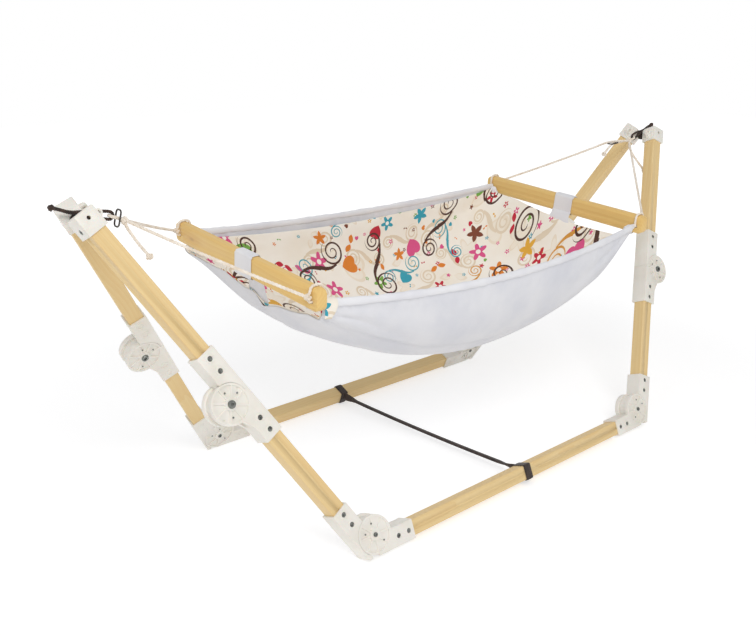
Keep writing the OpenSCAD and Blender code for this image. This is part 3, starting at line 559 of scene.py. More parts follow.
class Groups:
    """The shader groups that the finishes share, each built once."""

    def __init__(self) -> None:
        self.tone = tone_group()
        self.weave = weave_group()
        self.grain = grain_group()


class FinishBase:
    """What every finish does alike: one material, made the first time that it is asked for."""

    made: dict[str, Material] = {}
    groups: Optional[Groups] = None

    def material(self, name: str) -> Material:
        """The finish as a material.

        Args:
            name: The material's name; the same name gives the same material.

        Returns:
            The material.
        """
        if name not in self.made:
            FinishBase.groups = FinishBase.groups or Groups()
            material = bpy.data.materials.new(name)
            material.use_nodes = True
            material.node_tree.nodes.clear()
            nodes = Nodes(material.node_tree)
            shader = nodes.add("ShaderNodeBsdfPrincipled")
            out = nodes.add("ShaderNodeOutputMaterial")
            nodes.feed(out.inputs["Surface"], shader.outputs[0])
            self.build(nodes, shader)
            self.made[name] = material
        return self.made[name]

    def build(self, n: Nodes, shader: Node) -> None:
        """Lays out the finish's nodes in front of the shader."""
        raise NotImplementedError

    @staticmethod
    def bump(n: Nodes, shader: Node, height: Value, depth: float, strength: float = 1.0) -> None:
        """Raises the surface by a height, at a depth in metres."""
        node = n.add("ShaderNodeBump", {"Height": height, "Distance": depth, "Strength": strength})
        n.feed(shader.inputs["Normal"], node.outputs[0])

    @staticmethod
    def place(n: Nodes) -> Socket:
        """Object coordinates."""
        return n.add("ShaderNodeTexCoord").outputs["Object"]

    @staticmethod
    def chart(n: Nodes) -> Socket:
        """The piece's own UV map, which is in metres."""
        return n.add("ShaderNodeUVMap", uv_map="chart").outputs[0]

    def toned(self, n: Nodes, shader: Node, vector: Value, scale: float, rough: float,
              spread: float) -> Socket:
        """The cloudy tone between the finish's colour and shade; its roughness goes to the shader."""
        tone = n.use(self.groups.tone, Vector=vector, Colour=self.colour, Other_Colour=self.shade,
                     Scale=scale, Roughness=rough, Spread=spread)
        n.feed(shader.inputs["Roughness"], tone.outputs["Roughness"])
        n.feed(shader.inputs["Base Color"], tone.outputs["Colour"])
        return tone.outputs["Colour"]


@dataclass(frozen=True)
class Softwood(FinishBase):
    """Planed pine under a thin clear oil."""

    early: tuple = paint(234, 207, 152)
    late: tuple = paint(216, 171, 102)
    knot: tuple = paint(150, 96, 52)
    contrast: float = 0.4
    roughness: float = 0.5

    def build(self, n: Nodes, shader: Node) -> None:
        """Grain along the piece's own attribute."""
        v = n.add("ShaderNodeAttribute", attribute_name="grain").outputs["Vector"]
        wood = n.use(self.groups.grain, Vector=v, Early_Wood=self.early, Late_Wood=self.late, Knot=self.knot,
                     Contrast=self.contrast)
        worn = n.use(self.groups.tone, Vector=v, Scale=18.0, Roughness=self.roughness, Spread=0.2)
        n.feed(shader.inputs["Base Color"], wood.outputs["Colour"])
        n.feed(shader.inputs["Roughness"], worn.outputs["Roughness"])
        self.bump(n, shader, wood.outputs["Height"], 0.00012, 0.6)


@dataclass(frozen=True)
class MouldedPlastic(FinishBase):
    """Ivory nylon with a fine spark-eroded skin."""

    colour: tuple = paint(240, 236, 228)
    shade: tuple = paint(231, 226, 215)
    roughness: float = 0.42

    def build(self, n: Nodes, shader: Node) -> None:
        """Cloudy ivory with a fine pebble."""
        v = self.place(n)
        self.toned(n, shader, v, 14.0, self.roughness, 0.16)
        shader.inputs["Subsurface Weight"].default_value = 0.06
        shader.inputs["Subsurface Scale"].default_value = 0.004
        pebble = n.plus(n.noise(v, 1400.0, 2), n.times(n.noise(v, 90.0, 2), 2.0))
        self.bump(n, shader, pebble, 0.00006, 0.5)


@dataclass(frozen=True)
class PlatedSteel(FinishBase):
    """Zinc plate with faint turning marks and dull patches."""

    colour: tuple = paint(176, 178, 182)
    shade: tuple = paint(120, 122, 128)
    roughness: float = 0.36

    def build(self, n: Nodes, shader: Node) -> None:
        """Patchy plate."""
        v = self.place(n)
        self.toned(n, shader, v, 160.0, self.roughness, 0.4)
        n.feed(shader.inputs["Metallic"], 1.0)
        self.bump(n, shader, n.noise(n.scaled(v, (1, 1, 4)), 1100.0, 2), 0.00002, 0.6)


@dataclass(frozen=True)
class Cord(FinishBase):
    """Spun fibre for ropes and cords; the strands are in the mesh, and the yarns are here."""

    colour: tuple = paint(255, 247, 236)
    shade: tuple = paint(240, 226, 208)
    yarn: float = 0.0011
    sheen: float = 0.3

    def build(self, n: Nodes, shader: Node) -> None:
        """Slanting yarns over each strand, with soiled spots; the grooves between the yarns are painted darker, a
        painted shade.
        """
        chart = self.chart(n)
        split = n.split(chart)
        yarns = n.waves(n.plus(split[0], n.times(split[1], 0.9)), self.yarn)
        fuzz = n.noise(n.scaled(chart, (1500, 1500, 1)), 1.0, 3)
        tone = self.toned(n, shader, self.place(n), 60.0, 0.9, 0.1)
        # Painted shade: the grooves between the yarns blend 40 % towards the shade colour.
        n.feed(shader.inputs["Base Color"], n.blend(n.times(n.remap(yarns, 0.5, 0.0), 0.4), tone, self.shade))
        shader.inputs["Sheen Weight"].default_value = self.sheen
        self.bump(n, shader, n.plus(yarns, n.times(fuzz, 0.6)), 0.0003, 0.7)


@dataclass(frozen=True)
class Webbing(FinishBase):
    """Woven band with ribs along it."""

    colour: tuple = paint(54, 38, 30)
    shade: tuple = paint(34, 23, 17)
    rib: float = 0.0024
    sheen: float = 0.25

    def build(self, n: Nodes, shader: Node) -> None:
        """Ribs from the chart's second direction, crossed by fine picks; the hollows between the ribs are painted
        darker, a painted shade.
        """
        split = n.split(self.chart(n))
        ribs = n.waves(split[1], self.rib)
        picks = n.waves(split[0], 0.4 * self.rib)
        tone = self.toned(n, shader, self.place(n), 50.0, 0.85, 0.12)
        # Painted shade: the hollows between the ribs blend 60 % towards the shade colour.
        n.feed(shader.inputs["Base Color"], n.blend(n.times(n.remap(ribs, 0.4, 0.0), 0.6), tone, self.shade))
        shader.inputs["Sheen Weight"].default_value = self.sheen
        self.bump(n, shader, n.plus(ribs, n.times(picks, 0.35)), 0.00035, 0.8)


@dataclass(frozen=True)
class CottonCloth(FinishBase):
    """Bleached cotton canvas."""

    # This colour is a little greyer than the hem cloth's: painted shade for the outer cloth, whose lower faces
    # hang in shadow.
    colour: tuple = paint(232, 232, 236)
    shade: tuple = paint(221, 222, 229)
    thread: float = 0.0009
    sheen: float = 0.15

    def build(self, n: Nodes, shader: Node) -> None:
        """Plain weave with soft creases."""
        chart = self.chart(n)
        weave = n.use(self.groups.weave, Vector=chart, Thread=self.thread, Slub=0.5)
        self.toned(n, shader, chart, 9.0, 0.88, 0.08)
        shader.inputs["Sheen Weight"].default_value = self.sheen
        creases = n.noise(n.scaled(chart, (30, 30, 1)), 1.0, 4, 0.55)
        self.bump(n, shader, n.plus(n.times(weave.outputs[0], 0.12), creases), 0.0022, 0.45)


# Printed lining: generic flowers, hearts, stars, leaves and curls


@dataclass(frozen=True)
class Scrolls:
    """One layer of S-shaped scrolls in the print, measured in metres.

    Attributes:
        cell: Width of the cells that hold one scroll each.
        shift: Where the grid of cells starts.
        size: Radius of the larger spiral.
        width: Width of the line.
        keep: The share of cells that carry a scroll.
        inks: Its colours.
    """

    cell: float
    shift: tuple[float, float, float]
    size: float
    width: float
    keep: float
    inks: tuple[tuple, ...]


GHOST_SCROLLS = Scrolls(0.13, (5.1, 2.3, 0), 0.022, 0.0034, 0.8, (paint(230, 214, 190),))
SMALL_SCROLLS = Scrolls(0.15, (1.4, 8.6, 0), 0.023, 0.0022, 0.7, (paint(216, 152, 62), paint(70, 164, 180)))
BROWN_SCROLLS = Scrolls(0.19, (2.8, 6.4, 0), 0.032, 0.0032, 0.85, (paint(78, 46, 36),))


def curl_group() -> Tree:
    """One curl: a spiral line of even width that ends in a straight stem."""
    tree, n, given, end = shader_group(
        "print_curl",
        {"Vector": (0, 0, 0), "Centre": (0, 0, 0), "Radius": 0.03, "Angle": 0.0, "Hand": 1.0, "Stem": 0.1,
         "Width": 0.0022},
        {"Mask": "NodeSocketFloat"},
    )
    local = n.vector("SUBTRACT", given["Vector"], given["Centre"])
    back = {"Vector": local, "Angle": n.times(given["Angle"], -1.0)}
    split = n.split(n.add("ShaderNodeVectorRotate", back, rotation_type="Z_AXIS").outputs[0])
    x = split[0]
    y = n.times(split[1], given["Hand"])
    r = n.math("SQRT", n.plus(n.times(x, x), n.times(y, y)))
    turn = n.over(n.math("ARCTAN2", y, x), 2 * math.pi)
    pitch = n.over(given["Radius"], 2.25)
    lap = n.plus(n.minus(n.over(r, pitch), turn), 0.25)
    off = n.times(n.math("ABSOLUTE", n.minus(n.math("FRACT", lap), 0.5)), pitch)
    inside = n.times(n.below(r, given["Radius"]), n.above(r, n.times(pitch, 0.3)))
    thin = n.times(given["Width"], n.remap(r, 0.0, given["Radius"], 0.35, 0.8))
    spiral = n.times(n.below(off, thin), inside)
    wave = n.math("SINE", n.over(x, n.times(given["Stem"], 0.3)))
    sway = n.times(wave, n.times(given["Radius"], 0.16))
    aside = n.math("ABSOLUTE", n.plus(n.plus(y, n.times(given["Radius"], 0.98)), sway))
    along = n.times(n.above(x, -0.001), n.below(x, given["Stem"]))
    fat = n.times(given["Width"], n.remap(x, 0.0, given["Stem"], 0.8, 1.7))
    stem = n.times(n.below(aside, fat), along)
    n.feed(end.inputs["Mask"], n.math("MAXIMUM", spiral, stem))
    return tree


def scroll_group() -> Tree:
    """Scattered scrolls, one in each cell of a loose grid: two curls whose stems meet."""
    tree, n, given, end = shader_group(
        "print_scrolls",
        {"Vector": (0, 0, 0), "Cell": 0.16, "Shift": (0, 0, 0), "Size": 0.03, "Width": 0.003},
        {"Mask": "NodeSocketFloat", "Pick": "NodeSocketFloat"},
    )
    curls = curl_group()
    chance, spin = n.scatter(given["Vector"], given["Cell"], given["Shift"], 0.3)
    grow = n.over(given["Cell"], given["Size"])
    unit_place = n.vector("MULTIPLY", spin, n.three(grow, grow, 0.0))
    width = n.over(given["Width"], given["Size"])
    mask: Value = 0.0
    for radius, hand in ((1.0, 1), (0.76, -1)):
        one = n.use(curls, Vector=unit_place, Centre=(-1.6 * hand, 0.98 * radius * hand, 0), Radius=radius,
                    Angle=0.0 if hand > 0 else math.pi, Hand=1.0, Stem=1.6, Width=width)
        mask = n.math("MAXIMUM", mask, one.outputs["Mask"])
    n.feed(end.inputs["Mask"], mask)
    n.feed(end.inputs["Pick"], chance.outputs[1])
    return tree


def motif_group() -> Tree:
    """Scattered flowers, hearts, stars and leaf pairs, one in each cell of a loose grid."""
    tree, n, given, end = shader_group(
        "print_motifs",
        {"Vector": (0, 0, 0), "Cell": 0.06, "Reach": 0.3, "Shift": (0, 0, 0)},
        {"Mask": "NodeSocketFloat", "Centre": "NodeSocketFloat", "Pick": "NodeSocketFloat"},
    )
    chance, spin = n.scatter(given["Vector"], given["Cell"], given["Shift"], 0.62)
    size = n.times(given["Reach"], n.remap(chance.outputs[2], 0.0, 1.0, 0.75, 1.1))
    split = n.split(spin)
    x = n.over(split[0], size)
    y = n.over(split[1], size)
    r = n.math("SQRT", n.plus(n.times(x, x), n.times(y, y)))
    turn = n.math("ARCTAN2", y, x)
    petals = n.plus(0.72, n.times(n.math("COSINE", n.times(turn, 5.0)), 0.28))
    flower = n.below(r, petals)
    lap = n.math("FRACT", n.over(turn, 2 * math.pi / 5))
    point = n.math("ABSOLUTE", n.minus(n.times(lap, 2.0), 1.0))
    star = n.below(r, n.plus(0.4, n.times(point, 0.6)))
    round_part = n.minus(n.times(n.times(r, r), 1.6), 1.0)
    cubed = n.times(n.times(x, x), n.math("POWER", n.math("ABSOLUTE", y), 3.0))
    lobes = n.times(cubed, n.times(n.math("SIGN", y), 3.2))
    heart = n.below(n.minus(n.times(n.times(round_part, round_part), round_part), lobes), 0.0)
    aside = n.math("ABSOLUTE", x)
    blade = n.minus(1.0, n.math("POWER", n.times(n.minus(aside, 0.52), 2.1), 2.0))
    leaf = n.below(n.math("ABSOLUTE", n.minus(y, n.times(aside, 0.25))), n.times(blade, 0.3))
    kind = chance.outputs[1]
    first = n.below(kind, 0.36)
    second = n.below(kind, 0.56)
    third = n.below(kind, 0.74)

    def choose(test: Value, yes: Value, no: Value) -> Socket:
        """One mask where the test holds, and another elsewhere."""
        return n.plus(n.times(test, yes), n.times(n.minus(1.0, test), no))

    n.feed(end.inputs["Mask"], choose(first, flower, choose(second, heart, choose(third, star, leaf))))
    n.feed(end.inputs["Centre"], n.times(first, n.below(r, 0.26)))
    n.feed(end.inputs["Pick"], n.math("FRACT", n.times(chance.outputs[2], 7.31)))
    return tree


@dataclass(frozen=True)
class Motifs:
    """One layer of scattered motifs in the print, in metres; reach is a share of the cell."""

    cell: float
    reach: float
    shift: tuple[float, float, float]
    keep: float = 1.0


PALE_MOTIFS = Motifs(0.105, 0.33, (3.4, 1.7, 0))
PALE_HOLLOWS = Motifs(0.105, 0.26, (3.4, 1.7, 0))
SMALL_MOTIFS = Motifs(0.036, 0.18, (0.3, 5.2, 0), 0.5)
LARGE_MOTIFS = Motifs(0.072, 0.31, (7.7, 2.9, 0), 0.8)
ORANGE, PINK, RED, TEAL = paint(226, 132, 44), paint(222, 84, 140), paint(196, 36, 58), paint(52, 162, 184)
YELLOW, GREEN, BROWN = paint(228, 172, 60), paint(120, 172, 74), paint(126, 66, 44)
BRIGHT_INKS = [(0.0, ORANGE), (0.16, PINK), (0.33, RED), (0.47, TEAL), (0.64, YELLOW), (0.78, GREEN),
               (0.88, BROWN)]


@dataclass(frozen=True)
class PrintedCotton(FinishBase):
    """Cream cotton printed with small bright motifs over pale ones."""

    colour: tuple = paint(252, 247, 238)
    shade: tuple = paint(247, 239, 225)
    ghost: tuple = paint(234, 216, 188)
    thread: float = 0.0007

    @staticmethod
    def scrolled(n: Nodes, ink: Value, chart: Socket, tree: Tree, kind: Scrolls) -> Value:
        """The colour with one layer of scrolls over it."""
        layer = n.use(tree, Vector=chart, Cell=kind.cell, Shift=kind.shift, Size=kind.size, Width=kind.width)
        pick = layer.outputs["Pick"]
        shown = n.times(layer.outputs["Mask"], n.below(pick, kind.keep))
        stops = [(number / len(kind.inks), ink_tone) for number, ink_tone in enumerate(kind.inks)]
        tone = n.ramp(n.over(pick, kind.keep), stops, sharp=True) if len(stops) > 1 else kind.inks[0]
        return n.blend(shown, ink, tone)

    @staticmethod
    def strewn(n: Nodes, chart: Socket, tree: Tree, kind: Motifs) -> bpy.types.NodeOutputs:
        """The outputs of one layer of motifs, by name."""
        return n.use(tree, Vector=chart, Cell=kind.cell, Reach=kind.reach, Shift=kind.shift).outputs

    def build(self, n: Nodes, shader: Node) -> None:
        """Pale ghosts first, then small and large motifs, then curls."""
        chart = self.chart(n)
        motifs = motif_group()
        ink = self.toned(n, shader, chart, 7.0, 0.86, 0.06)
        pale = self.strewn(n, chart, motifs, PALE_MOTIFS)
        hollow = self.strewn(n, chart, motifs, PALE_HOLLOWS)
        rim = n.minus(pale["Mask"], n.times(hollow["Mask"], 0.6), clamp=True)
        ink = n.blend(n.times(rim, 0.55), ink, self.ghost)
        scrolls = scroll_group()
        ink = self.scrolled(n, ink, chart, scrolls, GHOST_SCROLLS)
        for kind in (SMALL_MOTIFS, LARGE_MOTIFS):
            layer = self.strewn(n, chart, motifs, kind)
            shown = n.times(layer["Mask"], n.below(layer["Pick"], kind.keep))
            ink = n.blend(shown, ink, n.ramp(n.over(layer["Pick"], kind.keep), BRIGHT_INKS, sharp=True))
            ink = n.blend(n.times(shown, layer["Centre"]), ink, self.colour)
        for kind in (SMALL_SCROLLS, BROWN_SCROLLS):
            ink = self.scrolled(n, ink, chart, scrolls, kind)
        weave = n.use(self.groups.weave, Vector=chart, Thread=self.thread, Slub=0.4)
        n.feed(shader.inputs["Base Color"], ink)
        shader.inputs["Sheen Weight"].default_value = 0.12
        creases = n.noise(n.scaled(chart, (26, 26, 1)), 1.0, 4, 0.55)
        self.bump(n, shader, n.plus(n.times(weave.outputs[0], 0.1), creases), 0.002, 0.4)


PINE = Softwood()
OILED_PINE = Softwood(early=paint(237, 202, 128), late=paint(216, 164, 86), contrast=0.42)
IVORY = MouldedPlastic()
SCREW_STEEL = PlatedSteel(colour=paint(136, 138, 134), shade=paint(84, 86, 84))
DARK_WIRE = PlatedSteel(colour=paint(92, 90, 88), shade=paint(54, 50, 48), roughness=0.4)
COTTON_ROPE = Cord()
BROWN_CORD = Cord(colour=paint(70, 48, 36), shade=paint(36, 24, 18), yarn=0.0014, sheen=0.2)
BROWN_WEB = Webbing()
# The outer cloth is painted a little greyer than the hem cloth, as painted shade; the hem keeps the lighter white.
WHITE_CLOTH = CottonCloth()
HEM_CLOTH = CottonCloth(colour=paint(238, 238, 241), shade=paint(228, 228, 234), thread=0.0011)
PRINT = PrintedCotton()


# Mesh helpers


@dataclass
class Shell:
    """Vertices, faces and chart of a piece that is being gathered, in millimetres."""

    vertices: list = field(default_factory=list)
    faces: list = field(default_factory=list)
    chart: list = field(default_factory=list)

    def add(self, vertices: Points, faces: Iterable[Sequence[int]], chart: Optional[Points] = None) -> None:
        """Adds a closed part.

        Args:
            vertices: Its points in rows.
            faces: Its faces, numbered from its own first point.
            chart: A pair of chart values for each point, in metres.
        """
        first = len(self.vertices)
        self.vertices += [tuple(v) for v in np.asarray(vertices, float)]
        self.faces += [tuple(first + k for k in face) for face in faces]
        flat = np.zeros((len(vertices), 2)) if chart is None else np.asarray(chart, float)
        self.chart += [tuple(pair) for pair in flat]

    def piece(self, name: str, material: Material, crease: float = 40) -> Thing:
        """Makes the object.

        Args:
            name: The piece's name.
            material: Its material.
            crease: Faces that meet at less than this many degrees are shaded smooth.

        Returns:
            The object, at the origin, in metres.
        """
        mesh = bpy.data.meshes.new(name)
        mesh.from_pydata([tuple(c * MM for c in v) for v in self.vertices], [], self.faces)
        layer = mesh.uv_layers.new(name="chart")
        loops = np.zeros(len(mesh.loops), np.int32)
        mesh.loops.foreach_get("vertex_index", loops)
        layer.data.foreach_set("uv", np.asarray(self.chart, np.float32)[loops].ravel())
        return linked(name, mesh, material, crease)


def linked(name: str, mesh: bpy.types.Mesh, material: Material, crease: float = 40) -> Thing:
    """Gives a mesh its material, outward faces and shading, and an object in the scene."""
    work = bmesh.new()
    work.from_mesh(mesh)
    bmesh.ops.recalc_face_normals(work, faces=work.faces)
    work.to_mesh(mesh)
    work.free()
    mesh.materials.clear()
    mesh.materials.append(material)
    mesh.shade_smooth()
    mesh.set_sharp_from_angle(angle=math.radians(crease))
    thing = bpy.data.objects.new(name, mesh)
    bpy.context.scene.collection.objects.link(thing)
    return thing


def unit_rows(rows: Points) -> Points:
    """Each row at a length of one."""
    return rows / np.linalg.norm(rows, axis=1)[:, None]


def run_of(way: Points) -> Points:
    """The length of a line up to each of its points."""
    return np.concatenate([[0], np.cumsum(np.linalg.norm(np.diff(way, axis=0), axis=1))])


def domed(k: Points, power: int, least: float) -> Points:
    """A height of 1 over the middle of places from -0.5 to 0.5, which falls towards both ends."""
    return np.sqrt(np.clip(1 - (2 * k) ** power, least, 1))


def coordinates(mesh: bpy.types.Mesh) -> Points:
    """A mesh's points in rows, in metres."""
    flat = np.zeros(len(mesh.vertices) * 3)
    mesh.vertices.foreach_get("co", flat)
    return flat.reshape(-1, 3)


def smooth_way(points: Sequence[Sequence[float]], step: float) -> Points:
    """A smooth line through points, with even steps.

    Args:
        points: The points to pass through.
        step: The distance between the new points.

    Returns:
        The new points in rows.
    """
    p = np.asarray(points, float)
    ext = np.vstack([2 * p[0] - p[1], p, 2 * p[-1] - p[-2]])
    fine = []
    for k in range(1, len(ext) - 2):
        p0, p1, p2, p3 = ext[k - 1 : k + 3]
        knots = np.cumsum([0] + [max(np.linalg.norm(b - a), 1e-6) ** 0.5
                                 for a, b in ((p0, p1), (p1, p2), (p2, p3))])
        for t in np.linspace(knots[1], knots[2], 12, endpoint=False):

            def between(i: int, j: int, a: Points, b: Points) -> Points:
                """The point at t on the way from a at knot i to b at knot j."""
                return (knots[j] - t) / (knots[j] - knots[i]) * a + (t - knots[i]) / (knots[j] - knots[i]) * b

            a1, a2, a3 = between(0, 1, p0, p1), between(1, 2, p1, p2), between(2, 3, p2, p3)
            fine.append(between(1, 2, between(0, 2, a1, a2), between(1, 3, a2, a3)))
    fine = np.array(fine + [ext[-2]])
    run = run_of(fine)
    places = np.linspace(0, run[-1], max(3, round(run[-1] / step) + 1))
    return np.stack([np.interp(places, run, fine[:, k]) for k in range(3)], axis=1)


def frames_along(way: Points) -> tuple[Points, Points]:
    """Two directions across a line at each point, turned as little as possible."""
    ahead = unit_rows(np.gradient(way, axis=0))
    start = np.cross(ahead[0], [0.0, 0.0, 1.0])
    if np.linalg.norm(start) < 0.1:
        start = np.cross(ahead[0], [1.0, 0.0, 0.0])
    across = [unit(start)]
    for t in ahead[1:]:
        last = across[-1]
        across.append(unit(last - (last @ t) * t))
    across = np.array(across)
    return across, np.cross(ahead, across)


def lattice(rings: int, around: int, closed: bool = False) -> list[tuple[int, ...]]:
    """The faces of a tube of rings whose points are numbered ring by ring.

    Args:
        rings: How many rings there are.
        around: Points in each ring.
        closed: Whether the last ring joins the first. Otherwise a face closes each end.

    Returns:
        The faces.
    """
    faces = []
    for i in range(rings if closed else rings - 1):
        a, b = i * around, (i + 1) % rings * around
        faces += [(a + k, a + (k + 1) % around, b + (k + 1) % around, b + k) for k in range(around)]
    if not closed:
        faces += [tuple(range(around))[::-1], tuple((rings - 1) * around + k for k in range(around))]
    return faces


def hoops(way: Points, radius: Points, across: Points, up: Points, sides: int) -> Points:
    """Rings of points round a line, in one long row of points."""
    angle = np.linspace(0, 2 * math.pi, sides, endpoint=False)
    ring = np.cos(angle)[None, :, None] * across[:, None] + np.sin(angle)[None, :, None] * up[:, None]
    return (way[:, None] + radius[:, None, None] * ring).reshape(-1, 3)


def tube(way: Points, radius: Union[float, Points], sides: int = 10) -> Solid:
    """A closed round tube along a line.

    Args:
        way: The middle line.
        radius: One radius, or one for each point.
        sides: Points round the tube.

    Returns:
        Vertices, faces, and the chart with the length and the way round in metres.
    """
    radius = np.broadcast_to(np.asarray(radius, float), len(way))
    vertices = hoops(way, radius, *frames_along(way), sides)
    angle = np.linspace(0, 2 * math.pi, sides, endpoint=False)
    around = np.minimum(angle, 2 * math.pi - angle) * float(radius.mean()) * MM
    chart = np.stack([np.repeat(run_of(way) * MM, sides), np.tile(around, len(way))], axis=1)
    return vertices, lattice(len(way), sides), chart


def closed_tube(way: Points, radius: float, sides: int) -> Solid:
    """A round tube along a closed line, whose last point joins its first: vertices, faces and chart."""
    ahead = unit_rows(np.roll(way, -1, axis=0) - np.roll(way, 1, axis=0))
    out = way - way.mean(axis=0)
    out = unit_rows(out - (out * ahead).sum(1)[:, None] * ahead)
    vertices = hoops(way, np.full(len(way), radius), out, np.cross(ahead, out), sides)
    return vertices, lattice(len(way), sides, closed=True), np.zeros((len(vertices), 2))


def boxed(half_y: float, half_z: float, bend: float, step: float) -> Points:
    """A rectangle with rounded corners, as pairs of points, one arc for each corner."""
    line = []
    for k, (sy, sz) in enumerate(((1, 1), (-1, 1), (-1, -1), (1, -1))):
        for a in np.radians(np.arange(0, 91, step) + 90 * k):
            middle = (sy * (half_y - bend), sz * (half_z - bend))
            line.append((middle[0] + bend * math.cos(a), middle[1] + bend * math.sin(a)))
    return np.array(line)


def band(middle: Points, out: Points, over: Points, under: Points, chart: tuple[Points, Points],
         closed: bool = False) -> Solid:
    """A flat closed band about the points of its middle face.

    Args:
        middle: The middle face's points, in rows along the band and columns across it.
        out: The direction through the band at each row.
        over: How far the upper face stands over the middle one.
        under: How far the lower face stands under it.
        chart: The chart's values for the rows and for the columns, in metres.
        closed: Whether the last row joins the first.

    Returns:
        Vertices, faces and chart.
    """
    top = middle + over[..., None] * out[:, None]
    low = (middle - under[..., None] * out[:, None])[:, ::-1]
    rings = np.concatenate([top, low], axis=1)
    count, size = rings.shape[:2]
    along, across = chart
    flat = np.stack([np.repeat(along, size), np.tile(np.concatenate([across, across[::-1]]), count)], axis=1)
    return rings.reshape(-1, 3), lattice(count, size, closed), flat


def settled(piece: Thing, body: str, slot: str, *nodes: str) -> Thing:
    """Puts a piece on its body and lets it stand for its CAD nodes."""
    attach(piece, body)
    if nodes:
        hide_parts(*nodes)
    return piece


def laid_rope(shell: Shell, way: Points, diameter: float, strands: int = 3, pitch: float = 3.4,
              fray: float = 0.0) -> None:
    """Adds a rope of twisted strands to a shell.

    Args:
        shell: The shell that takes the strands.
        way: The rope's middle line, with steps of a millimetre or two.
        diameter: The rope's diameter.
        strands: How many strands it is laid from.
        pitch: The length of one turn, in diameters.
        fray: How far the strands part at the last few millimetres.
    """
    across, up = frames_along(way)
    run = run_of(way)
    lay = 2 * math.pi * run / (pitch * diameter)
    strand_r = diameter / 2 * (0.54 if strands == 3 else 0.46)
    offset = diameter / 2 - strand_r + 0.04
    spread = offset * (1 + fray * np.clip(1 - (run[-1] - run) / (1.2 * diameter), 0, 1))
    for k in range(strands):
        turn = lay + 2 * math.pi * k / strands
        line = way + spread[:, None] * (np.cos(turn)[:, None] * across + np.sin(turn)[:, None] * up)
        shell.add(*tube(line, strand_r, 8))


def overhand(centre: Points, along: Points, size: float) -> Points:
    """The line of an overhand knot pulled tight.

    Args:
        centre: The knot's middle.
        along: The direction of the rope through it.
        size: The radius that the knot fills.

    Returns:
        The line's points.
    """
    t = np.linspace(-0.30, 2 * math.pi - 0.75, 90)
    knot = np.stack([np.sin(t) + 2 * np.sin(2 * t), np.cos(t) - 2 * np.cos(2 * t), -1.25 * np.sin(3 * t)],
                    axis=1)
    knot *= size / 3.2
    axis = unit(along)
    side = unit(np.cross(axis, [0.3, 0.9, 0.1]))
    third = np.cross(axis, side)
    return np.asarray(centre) + knot[:, :1] * side + knot[:, 1:2] * third + knot[:, 2:] * axis


# Camera and studio


@dataclass(frozen=True)
class Camera:
    """The photograph's camera, in metres and degrees. The image is 756 by 636 pixels."""

    place: tuple[float, float, float] = (-1.2632, -1.3291, 0.9316)
    yaw: float = 39.9126
    pitch: float = 19.1831
    roll: float = -0.3348
    focal_px: float = 860.764
    image_width: float = 756
    sensor: float = 36

    def build(self) -> None:
        """Makes the camera and sets it on the scene."""
        data = bpy.data.cameras.new("camera")
        data.sensor_width = self.sensor
        data.lens = self.focal_px * self.sensor / self.image_width
        thing = bpy.data.objects.new("camera", data)
        yaw, pitch = math.radians(self.yaw), math.radians(self.pitch)
        ahead = Vector((math.sin(yaw) * math.cos(pitch), math.cos(yaw) * math.cos(pitch), -math.sin(pitch)))
        turn = ahead.to_track_quat("-Z", "Y").to_matrix() @ Matrix.Rotation(math.radians(self.roll), 3, "Z")
        thing.matrix_world = Matrix.Translation(self.place) @ turn.to_4x4()
        bpy.context.scene.collection.objects.link(thing)
        bpy.context.scene.camera = thing


